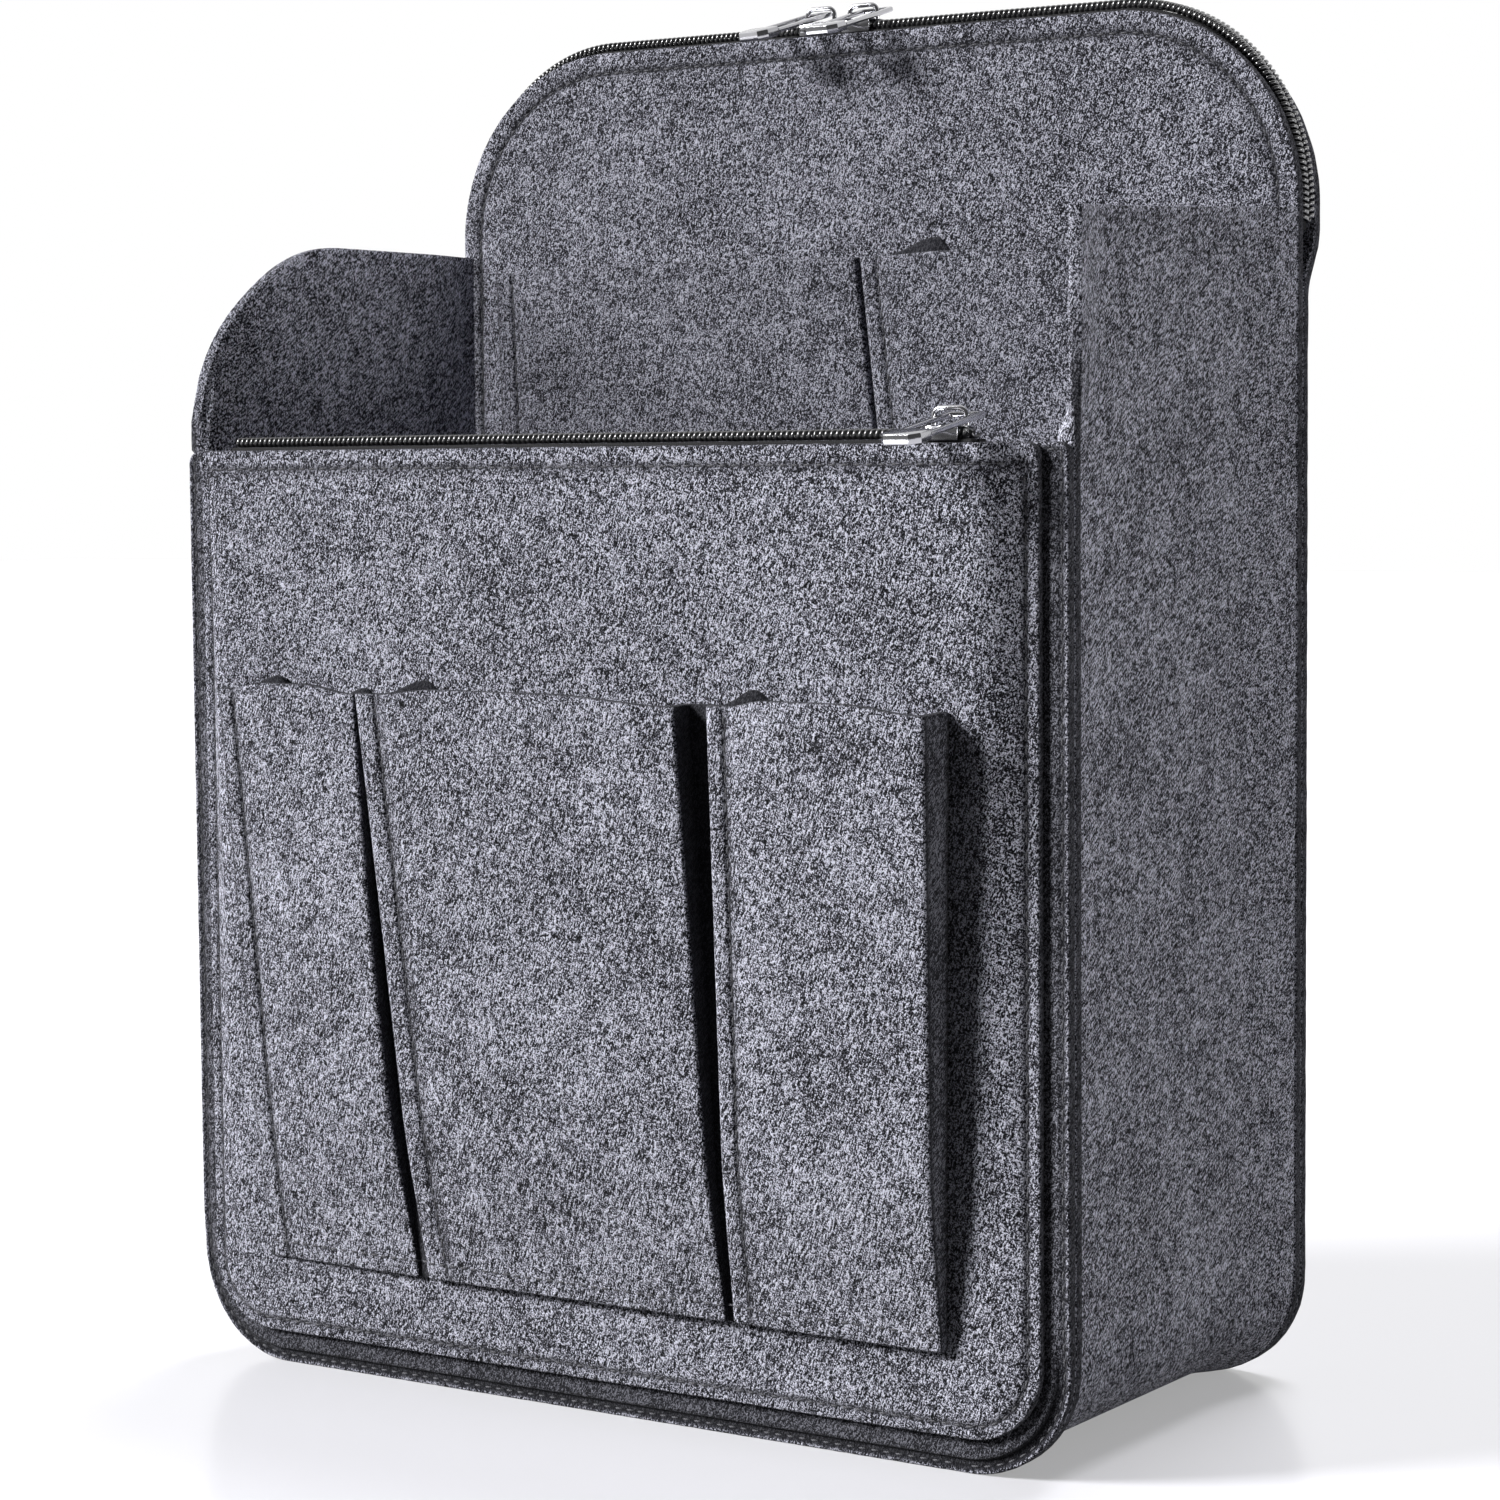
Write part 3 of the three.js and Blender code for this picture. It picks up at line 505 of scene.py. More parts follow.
zipPanel = {
    "box": (-118, 118, 8.5, 226, 18, 3), "lines": (2.2, 2.7, 3.0, 3.3, 4.1, 4.6, 5.1),
    "gap": 6.4, "band": 3.0, "slope": 7.0, "leanLow": 11.5, "leanHigh": 212.0,
    "seam": 3.0, "topSeam": 4.6, "topHalf": 114, "seamDepth": 0.55, "seamWidth": 0.6,
    "seamEnd": (216, 221), "seamFade": 9, "slackSeed": 3.1, "slackRun": (3, 25), "slackTop": (226, 190),
    "pressed": 0.9, "pressRun": (5.0, 0.4), "pressTop": (224, 215),
}


def zipPanelLean(x, z):
    look = zipPanel
    left, right = look["box"][:2]
    share = ramp(look["leanLow"], look["leanHigh"], z)
    return look["gap"] * share * ease(look["band"], look["band"] + look["slope"], min(x - left, right - x))


def zipSeamAway(x, z):  # from a point to the nearest row of stitches
    look = zipPanel
    side = abs(rimDistance(x, z, look["box"]) - look["seam"]) + look["seamFade"] * ease(*look["seamEnd"], z)
    return min(side, abs(look["box"][3] - look["topSeam"] - z))


def zipPanelAt(x, z, depth):
    look = zipPanel
    distance = rimDistance(x, z, look["box"])
    y = -feltThick - zipPanelLean(x, z) + depth - slackAt(x, z, look, distance)
    if depth == 0:
        y += groove(look, zipSeamAway(x, z))
        y += look["pressed"] * ease(*look["pressRun"], distance) * ease(*look["pressTop"], z)
    return y


# painted shade along its rows of stitches
panelPiece = feltPanel("zipPocketPanel", zipPanel, zipPanelAt, ["zip_pocket_panel"],
                       lambda x, z: seamShade(zipSeamAway(x, z)))
print("zip pocket panel made")


# Back panels: the inner one stands behind the compartment, the rear one closes the sleeve

# shade is painted shade over the whole front of the inner back panel
backPanel = {
    "box": (-124, 124, 0, 330, 26, 48), "lines": (3.0, 4.6, 5.1, 5.4, 5.7, 6.3), "y": 112.0,
    "seam": 5.4, "seamDepth": 0.55, "seamWidth": 0.6, "shade": 0.26,
}


def innerBackAt(x, z, depth):
    look = backPanel
    if depth > 0:
        return look["y"] + depth
    return look["y"] + groove(look, rimDistance(x, z, look["box"]) - look["seam"])


# painted shade along the seam round the back panels
def backSeamShade(x, z):
    return seamShade(rimDistance(x, z, backPanel["box"]) - backPanel["seam"])


# painted shade over the whole panel front, and along its seam
backPiece = feltPanel("innerBackPanel", backPanel, innerBackAt, ["inner_back_panel"],
                      lambda x, z: backPanel["shade"] + backSeamShade(x, z))

rearPanel = {
    "gap": 6.4, "band": 6.0, "slope": 16.0, "seamEnd": 254.0, "seamDepth": 0.5, "seamWidth": 0.6,
    "slackSeed": 9.4, "slackRun": (6, 30), "slackTop": (330, 280),
}


def rearLean(x, z):
    look = rearPanel
    across = backPanel["box"][1] - abs(x)
    distance = across if z < look["seamEnd"] else math.hypot(across, z - look["seamEnd"])
    share = ramp(look["band"], look["seamEnd"], z)
    return look["gap"] * share * ease(look["band"], look["band"] + look["slope"], distance)


def rearPanelAt(x, z, depth):
    look = rearPanel
    distance = rimDistance(x, z, backPanel["box"])
    y = backPanel["y"] + feltThick + rearLean(x, z) + depth + slackAt(x, z, look, distance)
    if depth > 0:
        y -= groove(look, distance - backPanel["seam"])
    return y


rearPiece = feltPanel("rearPanel", backPanel, rearPanelAt, ["rear_panel"], backSeamShade, feltThick)
print("back panels made")


# Gusset: left wall, base and right wall in one strip, its edges turned out into seam flanges

gusset = {
    "front": 3.0, "rear": 112.0, "side": 121.0, "bend": 23.0, "bendCentre": 26.0,
    "leftTop": 278.0, "leftRound": 48.0, "rightTop": 281.0, "rightFall": 5.0,
    "openLow": 225.0, "openHigh": 242.0, "flare": 21.0, "flareOut": 2.0, "flareStart": 0.5, "flareEase": -0.3,
    "plain": (24, 87), "plainSteps": 21, "rearRun": 24.0, "rearSteps": 12, "rearPast": 4, "rearEdge": 0.6,
    "rearTips": (-0.3, 2.8), "rearSeat": 0.02, "tipIn": 0.25, "tipOver": 0.05, "tipReach": 0.17,
    "bow": 1.1, "bowRun": (10, 105), "bowRise": (60, 200),
    "lips": ((0.0, 0.6), (0.15, 0.2), (0.5, 0.0), (2.0, 0.0)),  # drop and inset of the raw top edge
    "wallRows": 54, "bendRows": 12, "baseRows": 41, "paintedLightRun": (232, 262), "pale": 0.35,
}
flangeFace = ((2.4, 3), (1.6, 3), (0.8, 3), (0, 3.05), (-0.9, 3.35), (-1.8, 3.95), (-2.5, 4.8),
              (-2.9, 5.8), (-3, 7), (-3, 11), (-3, 16), (-3, 24))
flangeRear = ((2.4, 6), (1.8, 6), (1.3, 6.05), (0.8, 6.3), (0.4, 6.75), (0.15, 7.3), (0.02, 8),
              (0, 9), (0, 11), (0, 14), (0, 18), (0, 24))


def flaredPoint(number, face):  # the same point where the flange has straightened above the front wall
    share = number / (len(flangeFace) - 1)
    y = blendOf(gusset["front"] + gusset["flareStart"], gusset["front"] + gusset["flare"], share)
    out = blendOf(gusset["flareOut"], -feltThick, ease(gusset["flareEase"], 1.0, share))
    return (out if face else out + feltThick, y)


def leftTopAt(y):
    radius = gusset["leftRound"]
    back = max(gusset["front"] + radius - y, 0)
    return gusset["leftTop"] - radius + math.sqrt(max(radius * radius - back * back, 0))


def rightTopAt(y):
    front, rear = gusset["front"], gusset["rear"]
    return gusset["rightTop"] - gusset["rightFall"] * (rear - y) / (rear - front)


def gussetSection(heightAt):
    # (out, y) pairs of the felt's inner and outer face from the front flange to the rear one
    look = gusset

    def openedAt(y):
        return ease(look["openLow"], look["openHigh"], heightAt(y))

    faceLine, rearLine = [], []
    for number, pair in enumerate(zip(flangeFace, flangeRear)):
        for line, point, inner in zip((faceLine, rearLine), pair, (True, False)):
            spot = point
            for _ in range(3):  # how far a point opens depends on where it then lies
                spot = between(point, flaredPoint(number, inner), openedAt(spot[1]))
            line.append(spot)
    front, flareOut = look["front"], look["flareOut"]
    tips = [between(corner, flared, openedAt(corner[1])) for corner, flared in (
        ((feltThick, front), (flareOut, front)),
        ((feltThick, front + feltThick), (flareOut + feltThick, front)))]
    start, end = look["rear"] - look["rearRun"], look["rear"] - look["rearEdge"]
    places = [blendOf(*look["plain"], share) for share in shares(look["plainSteps"])[1:-1]]
    places += [blendOf(start, end, share) for share in shares(look["rearSteps"])[1:]]
    for y in places:
        out = feltThick * ease(start, look["rear"] + look["rearPast"], y)
        faceLine.append((out - feltThick, y))
        rearLine.append((out, y))
    ends = [(out, look["rear"] - look["rearSeat"]) for out in look["rearTips"]]
    return tipped(faceLine, rearLine, tips, ends)


def tipped(faceLine, rearLine, firstTips, lastTips):  # rounds the raw edges at both ends of a section
    def corner(tip, other, inner):
        return tuple(t + (i - t) * gusset["tipIn"] + (o - t) * gusset["tipOver"]
                     for t, o, i in zip(tip, other, inner))

    def reach(tip, other):
        return between(tip, other, gusset["tipReach"])

    def ended(line, tips, others):
        return [reach(tips[0], others[0]), corner(tips[0], others[0], line[0]), *line,
                corner(tips[1], others[1], line[-1]), reach(tips[1], others[1])]

    faceTips, rearTips = zip(firstTips, lastTips)
    return ended(faceLine, faceTips, rearTips), ended(rearLine, rearTips, faceTips)


def gussetRow(side, share, drop, inset):
    # one row of a wall: share 0 at its top and 1 where the base bends away
    topAt = leftTopAt if side < 0 else rightTopAt

    def heightAt(y):
        return blendOf(topAt(y) - drop, gusset["bendCentre"], share)

    def placed(_, out, y):
        z = heightAt(y)
        bow = gusset["bow"] * math.sin(math.pi * ramp(*gusset["bowRun"], y)) * ease(*gusset["bowRise"], z)
        return (side * (gusset["side"] + out - bow), y, z)

    return pinched(*gussetSection(heightAt), inset, placed)


def gussetWall(side):  # rows of one wall from its top down
    lips = gusset["lips"]
    rows = [gussetRow(side, 0, drop, inset) for drop, inset in lips]
    return rows + [gussetRow(side, share, *lips[-1]) for share in shares(gusset["wallRows"])[1:]]


def gussetBase():  # rows round the left bend, along the base and round the right bend
    look = gusset
    centre, bendZ, radius = look["side"] - look["bend"], look["bendCentre"], look["bend"]
    section = gussetSection(lambda y: bendZ)
    bend = []
    for share in shares(look["bendRows"])[1:]:
        angle = math.radians(180 + 90 * share)
        nx, nz = math.cos(angle), math.sin(angle)
        bend.append((-centre + radius * nx, bendZ + radius * nz, nx, nz))
    base = [(blendOf(-centre, centre, share), bendZ - radius, 0.0, -1.0)
            for share in shares(look["baseRows"])[1:-1]]
    stations = bend + base + [(-x, z, -nx, nz) for x, z, nx, nz in bend[::-1]]
    return [[[(x + nx * out, y, z + nz * out) for out, y in line] for line in section]
            for x, z, nx, nz in stations]


def makeGusset():
    rows = gussetWall(-1) + gussetBase() + gussetWall(1)[::-1][1:]
    points, faces = bandMesh(rows)
    width = len(rows[0][0])
    cuts = []
    for number, row in enumerate(rows):
        top = (0.4, 0.2, 0.0)[min(number, len(rows) - 1 - number, 2)]
        # painted light: the raw edge is drawn paler where it stands free and faces the light
        free = blendOf(1.0, gusset["pale"], ease(*gusset["paintedLightRun"], row[0][0][2]))
        line = [free, free / 2] + [0.0] * (width - 4) + [0.5, 1.0]
        cuts += [max(top, cut) for cut in line + line[::-1]]
    return makePiece("sideGusset", points, faces, heatherFelt, stands=["side_gusset"], cuts=cuts)


gussetPiece = makeGusset()
print("gusset made")


# Pleated pocket strips: every pocket has a folded edge sewn down at its left and a fold at its right

pleat = {
    "level": (6.15, 6.4), "stitchGap": 0.8, "groove": ((-0.4, 0.35), (0.0, 0.65), (0.4, 0.35)), "seat": 0.05,
    "pressed": 0.3, "pressFrom": -0.1, "pressRun": 0.3, "lowerRun": 0.75, "closest": 0.06, "under": 0.02,
    "rows": 34, "arcSteps": 7, "swellSteps": 28, "sideSteps": 6,
    "sewnRun": 0.2, "foldRun": 0.6, "mitreRun": 0.8,
    "lips": ((0.0, 0.55), (0.15, 0.18), (0.5, 0.0), (2.0, 0.0)),  # drop and inset of the raw edges
    "hem": 4.0, "sewFrom": 1.5, "sewTo": 2.5, "sewSteps": 59, "sewSunk": 0.55,
    "cornerSteps": 16, "cornerHalf": 0.8, "cornerSoft": 0.35, "cornerSunk": 4, "cornerShade": 1.1,
    "cornerRise": 1.4, "cornerPast": 0.5, "cornerRough": 0.12, "cornerGrain": 1.7,
}


def foldArc(x, v, radius, start, end):  # points round a fold, by angle
    angles = [math.radians(blendOf(start, end, share)) for share in shares(pleat["arcSteps"])]
    return [(x + radius * math.cos(a), v + radius * math.sin(a)) for a in angles]


def levelAt(number, share):  # the first pocket's edge lies on the sheet, the others on a layer below
    return blendOf(*pleat["level"], share) if number else feltThick


def pressedAt(share):  # the seam along the lower edge presses all layers flat
    return blendOf(pleat["pressed"], 1.0, ease(pleat["pressFrom"], pleat["pressRun"], share))


def pocketLine(look, share):
    # outer face of a strip at one height, in points of x, height off the sheet, lowering of the top edge,
    # shade and inner corner
    sewnDown, folded = look["top"]["sewn"], look["top"]["fold"]
    # painted shade on the gap floors and fold sides between pockets, weaker on the last pocket's side
    fold, dark, gap = look["fold"], look["dark"], pleat["stitchGap"]
    line = []
    lastRight = 0.0
    for number, pocket in enumerate(look["pockets"]):
        edge, sewn, right = (blendOf(*pocket[name], share) for name in ("edge", "sewn", "right"))
        depth = pocket["depth"](share)
        level = levelAt(number, share)
        if number == 0:
            run = [(blendOf(edge, sewn - gap, t), feltThick, 0.0) for t in shares(5)]
        else:
            turn = min(look["turn"], level - feltThick)
            arc = foldArc(edge + turn, level - turn, turn, 180, 90)
            run = [(blendOf(lastRight, edge, t), feltThick + pleat["under"], dark) for t in shares(4)[1:-1]]
            run += [(x, v, dark * ease(3, 0, i)) for i, (x, v) in enumerate(arc)]
            run += [(blendOf(edge + turn, sewn - gap, t), level, 0.0) for t in shares(3)[1:]]
        run += [(sewn + step, level - dip, seamShade(step)) for step, dip in pleat["groove"]]
        line += [(x, v, sewnDown, shade, None) for x, v, shade in run]
        corner = (right - feltThick, depth - feltThick)
        for t in shares(pleat["swellSteps"])[1:]:
            x, v = blendOf(sewn + gap, right - fold, t), blendOf(level, depth, 1 - (1 - t) ** pocket["swell"])
            lowered = sewnDown * (1 - ease(0, pleat["sewnRun"], t)) + folded * ease(pleat["foldRun"], 1, t)
            line.append((x, v, lowered, 0.0, corner if t > pleat["mitreRun"] else None))
        arc = foldArc(right - fold, depth - fold, fold, 84, 0)
        line += [(x, v, folded, dark * ease(3, 6, i), corner) for i, (x, v) in enumerate(arc)]
        last = pocket is look["pockets"][-1]
        foot = 0.1 if last else feltThick + 0.1
        shade = dark * (look["sideDark"] if last else 1)
        for t in shares(pleat["sideSteps"])[1:]:
            line.append((right, blendOf(depth - fold, foot, t), blendOf(folded, sewnDown, t), shade, corner))
        lastRight = right
    return line


def bandBehind(line, thick):  # the other face of the felt, square to the line, mitred inside the folds
    behind = []
    for i, (x, v, lowered, _, corner) in enumerate(line):
        before, after = line[max(i - 1, 0)], line[min(i + 1, len(line) - 1)]
        along = Vector((after[0] - before[0], after[1] - before[1]))
        square = Vector((along.y, -along.x)).normalized()
        spot = Vector((x, v)) + square * thick
        if corner:
            spot = Vector((min(spot.x, corner[0]), min(spot.y, corner[1])))
        behind.append((spot.x, max(spot.y, pleat["closest"]), lowered))
    return behind


def makeStrip(name, look, placed, stands):
    low, high, lips = look["low"], look["high"], pleat["lips"]
    inner = lips[-1][0]
    levels = [(low + drop, inset) for drop, inset in lips]
    levels += [(blendOf(low + inner, high - inner, share), 0.0) for share in shares(pleat["rows"])[1:-1]]
    levels += [(high - drop, inset) for drop, inset in lips[::-1]]
    rows, cuts = [], []
    for number, (z, inset) in enumerate(levels):
        share = (z - low) / (high - low)
        pressed, lower = pressedAt(share), ease(pleat["lowerRun"], 1, share)
        face = pocketLine(look, share)
        rows.append(pinched(face, bandBehind(face, feltThick), inset,
                            lambda spot, x, v: placed(x, v * pressed, z - spot[2] * lower)))
        edge = (1.0, 0.5, 0.0)[min(number, len(levels) - 1 - number, 2)]
        ends = (0, len(face) - 1)
        # raw edges dark; elsewhere the larger of the painted shade in the gaps and the painted shade over the
        # whole strip
        cuts += [max(edge, 1.0 if i in ends else max(spot[3], look["shade"])) for i, spot in enumerate(face)]
        cuts += [max(edge, 1.0 if i in ends else 0.0) for i in range(len(face))][::-1]
    points, faces = bandMesh(rows)
    return makePiece(name, points, faces, heatherFelt, stands=stands, cuts=cuts)


def pleatCorners(name, look, placed):  # corners of the inner layers that show over the pocket tops, painted dark as shade
    points, faces = [], []
    steps, half, soft = pleat["cornerSteps"], pleat["cornerHalf"], pleat["cornerSoft"]
    for start, peak, end, foot, high, v in look["corners"]:
        low = foot - pleat["cornerSunk"]
        faces += tubeFaces(steps + 1, 6, len(points))
        for share in shares(steps):
            x = blendOf(start, end, share)
            lift = ease(start, peak, x) ** pleat["cornerRise"] * ease(end + pleat["cornerPast"], peak, x)
            rough = pleat["cornerRough"] * noise.noise(Vector((x / pleat["cornerGrain"], high, v)))
            top = blendOf(foot, high, lift) + rough
            ring = ((v + half, low), (v + half, top - soft), (v + half - soft, top),
                    (v - half + soft, top), (v - half, top - soft), (v - half, low))
            points += [placed(x, away, z) for away, z in ring]
    return makePiece(name, points, faces, heatherFelt, cuts=[pleat["cornerShade"]] * len(points))


def frontPlaced(x, v, z):  # on the zip pocket panel
    inner = zipPanel["box"][1] - zipPanel["band"] - zipPanel["slope"]
    y = -feltThick - zipPanelLean(min(max(x, -inner), inner), z)
    return (x, y - v - pleat["seat"], z)


def innerPlaced(x, v, z):  # on the inner back panel
    return (x, backPanel["y"] - v - pleat["seat"], z)


# A pocket's places are given at the strip's lower and upper edge. Each corner has the x where it starts,
# peaks and ends, its foot and peak heights, and its place off the sheet.
# dark and sideDark set painted shade in the pleat gaps and on the fold sides; shade is painted shade over the
# whole strip
frontStrip = {
    "low": 28.0, "high": 170.0, "fold": 1.1, "turn": 2.2, "dark": 1.1, "sideDark": 0.72, "shade": 0.0,
    "top": {"sewn": 1.6, "fold": 1.9},
    "corners": ((-103.0, -87.0, -83.5, 168.0, 171.8, 1.6), (-69.0, -59.5, -56.0, 167.0, 169.6, 3.0),
                (-54.0, -40.0, -34.5, 168.6, 172.0, 4.6), (42.5, 52.5, 58.0, 168.6, 172.2, 4.6)),
    "pockets": (
        {"edge": (-97.0, -105.9), "sewn": (-92.0, -101.7), "right": (-50.2, -61.7), "swell": 1.4,
         "depth": lambda s: 5.0 + 2.4 * math.sin(math.pi * s) + 0.2 * s},
        {"edge": (-47.4, -61.1), "sewn": (-41.0, -54.6), "right": (39.0, 34.0), "swell": 1.7,
         "depth": lambda s: 6.6 + 3.4 * s},
        {"edge": (40.6, 39.6), "sewn": (45.6, 44.9), "right": (95.6, 99.4), "swell": 1.7,
         "depth": lambda s: 6.8 + 4.2 * s},
    ),
}
stripPiece = makeStrip("frontPocketStrip", frontStrip, frontPlaced, ["front_pocket_strip"])
frontCorners = pleatCorners("frontPleatCorners", frontStrip, frontPlaced)

# here shade darkens the whole inner strip as painted shade
innerStrip = {
    "low": 100.0, "high": 274.0, "fold": 1.4, "turn": 2.6, "dark": 0.8, "sideDark": 0.4, "shade": 0.42,
    "top": {"sewn": 0.6, "fold": 0.5},
    "corners": ((9.0, 28.0, 33.0, 273.0, 277.6, 4.4),),
    "pockets": (
        {"edge": (-104.0, -111.0), "sewn": (-99.0, -106.0), "right": (24.0, 4.4), "swell": 2.2,
         "depth": lambda s: 4.5 + 0.6 * s},
        {"edge": (25.0, 5.4), "sewn": (30.5, 10.9), "right": (113.0, 113.0), "swell": 2.2,
         "depth": lambda s: 6.6 + 2.9 * s},
    ),
}
innerPiece = makeStrip("innerPocketStrip", innerStrip, innerPlaced, ["inner_pocket_strip"])
innerCorners = pleatCorners("innerPleatCorners", innerStrip, innerPlaced)
print("pocket strips made")


# Stitching

def rimTrack(look, faceAt, depth=0.0):  # along a panel's edge, on its front or rear face
    track = []
    for x, z, nx, nz in panelRim(*look["box"], sewing["trackStep"]):
        x, z = x - nx * look["seam"], z - nz * look["seam"]
        track.append(((x, faceAt(x, z, depth), z), backward if depth else forward))
    return track


def zipPanelTracks():  # one row along the zipper and one round the other edges
    half, topZ = zipPanel["topHalf"], zipPanel["box"][3] - zipPanel["topSeam"]
    top = [((x, zipPanelAt(x, topZ, 0), topZ), forward) for x in range(-half, half + 2, 2)]
    rising = [spot for spot in rimTrack(zipPanel, zipPanelAt) if spot[0][2] < topZ - 1]
    gap = max(range(1, len(rising)), key=lambda i: (Vector(rising[i][0]) - Vector(rising[i - 1][0])).length)
    return top, rising[gap:] + rising[:gap]


def sewStrip(name, look, placed):
    low, high, hem = look["low"], look["high"], pleat["hem"]
    tracks = []
    for number, pocket in enumerate(look["pockets"]):
        track = []
        for part in shares(pleat["sewSteps"]):
            z = blendOf(low + pleat["sewFrom"], high - pleat["sewTo"], part)
            share = (z - low) / (high - low)
            v = (levelAt(number, share) - pleat["sewSunk"]) * pressedAt(share)
            track.append((placed(blendOf(*pocket["sewn"], share), v, z), forward))
        tracks.append(track)
    share = hem / (high - low)
    firstEnd = look["pockets"][0]["right"][1]
    line = [spot for spot in pocketLine(look, share) if spot[1] > feltThick + 0.5 or spot[0] < firstEnd]
    tracks.append([(placed(x, v * pressedAt(share), low + hem), forward) for x, v, *_ in line])
    stitchPiece(name, *tracks)


stitchPiece("frontWallStitching", rimTrack(frontWall, frontWallAt))
stitchPiece("zipPanelStitching", *zipPanelTracks())
stitchPiece("innerBackStitching", rimTrack(backPanel, innerBackAt))
stitchPiece("rearPanelStitching", rimTrack(backPanel, rearPanelAt, feltThick))
sewStrip("frontStripStitching", frontStrip, frontPlaced)
sewStrip("innerStripStitching", innerStrip, innerPlaced)
print("stitching made")


# Zippers

zipper = {
    "pitch": 1.45, "wire": 0.4, "wireLong": 0.52, "turnPoints": 10, "sides": 6, "seat": 0.75, "height": 2.45,
    "half": 1.5, "swing": 1.12, "square": 0.7, "endGap": 0.8, "gap": 6.4, "slit": 0.9,
    "tape": 0.5, "tapeFold": 6.0, "reach": 12.0, "tapeStep": 2.0, "tuck": 2.9, "tuckRun": 78.0,
    "pocketHalf": 104.0, "archStraight": 6.0,
}
frontTop, backTop = frontWall["box"][3], backPanel["box"][3]
pocketChain = -zipper["gap"] / 2
backChain = backPanel["y"] + feltThick + zipper["gap"] / 2


def straightTrack(half, z):  # x, z and outward direction by length, and the whole length
    def at(length):
        return (length - half, z, 0.0, 1.0)
    return at, 2 * half


def archTrack(half, radius, top, straight):  # up the left side, over the top and down the right side
    centreX, centreZ = half - radius, top - radius
    quarter = radius * math.pi / 2
    total = 2 * (straight + quarter + centreX)

    def at(length):
        mirror = 1 if length < total / 2 else -1
        length = min(length, total - length)
        if length < straight:
            x, z, nx, nz = -half, centreZ - straight + length, -1.0, 0.0
        elif length < straight + quarter:
            angle = math.pi - (length - straight) / radius
            nx, nz = math.cos(angle), math.sin(angle)
            x, z = -centreX + radius * nx, centreZ + radius * nz
        else:
            x, z, nx, nz = -centreX + length - straight - quarter, top, 0.0, 1.0
        return (mirror * x, z, mirror * nx, nz)
    return at, total


def tuckAt(length, total):  # how far the chain sinks between the felts near its ends
    return zipper["tuck"] * (1 - ease(0, zipper["tuckRun"], min(length, total - length)))


def squared(value):  # pushes a sine towards a squarer turn
    return math.copysign(abs(value) ** zipper["square"], value)


def coilPiece(name, track, total, chainY, side, node, tucked):
    look = zipper
    steps, sides = look["turnPoints"], look["sides"]
    middle = look["seat"] + look["height"] / 2
    lift = look["height"] / 2 - look["wire"]
    path, chains = [], []
    for i in range(int((total - 2 * look["endGap"]) / look["pitch"]) * steps + 1):
        phase = 2 * math.pi * i / steps + (0 if side > 0 else math.pi)
        length = look["endGap"] + look["pitch"] * i / steps
        across = side * (look["half"] + look["swing"] * squared(math.cos(phase)))
        out = middle + lift * squared(math.sin(phase)) - tucked * tuckAt(length, total)
        x, z, nx, nz = track(length)
        path.append(Vector((x + nx * out, chainY + across, z + nz * out)))
        chains.append(Vector((nz, 0.0, -nx)))
    points = []
    for i, (spot, chain) in enumerate(zip(path, chains)):
        along = (path[min(i + 1, len(path) - 1)] - path[max(i - 1, 0)]).normalized()
        first = (chain - along * chain.dot(along)).normalized()
        second = along.cross(first)
        points += ringRound(spot, first, second, look["wireLong"], look["wire"], sides)
    return makePiece(name, points, tubeFaces(len(path), sides), nylon, stands=[node])


def tapePiece(name, track, total, chainY, side, node, tucked):
    look = zipper
    outer, inner = look["gap"] / 2, look["slit"] / 2
    seat, thick, reach, fold = look["seat"], look["tape"], look["reach"], look["tapeFold"]
    section = [(outer, -reach), (outer, -fold), (outer, seat - 0.5), (outer - 0.15, seat - 0.15),
               (outer - 0.5, seat), (inner, seat), (inner, seat - thick), (outer - 0.7, seat - thick),
               (outer - thick, seat - 0.7), (outer - thick, -fold), (outer - thick, -reach)]
    count = int(total / look["tapeStep"])
    points = []
    for share in shares(count):
        x, z, nx, nz = track(total * share)
        sunk = tucked * tuckAt(total * share, total)
        for across, out in section:
            points.append((x + nx * (out - sunk), chainY + side * across, z + nz * (out - sunk)))
    faces = tubeFaces(count + 1, len(section))
    return makePiece(name, points, faces, tapeCloth, stands=[node], sharp=50)


def makeZipper(name, track, total, chainY, tucked):
    for half, side in (("front", -1), ("rear", 1)):
        for part, make in (("tape", tapePiece), ("coil", coilPiece)):
            piece = name + half.capitalize() + part.capitalize()
            make(piece, track, total, chainY, side, f"{name}_{part}_{half}", tucked)


makeZipper("pocket", *straightTrack(zipper["pocketHalf"], frontTop), pocketChain, 0.0)
backTrack = archTrack(backPanel["box"][1], backPanel["box"][5], backTop, zipper["archStraight"])
makeZipper("back", *backTrack, backChain, 1.0)
print("zippers made")


# Sliders and pull tabs

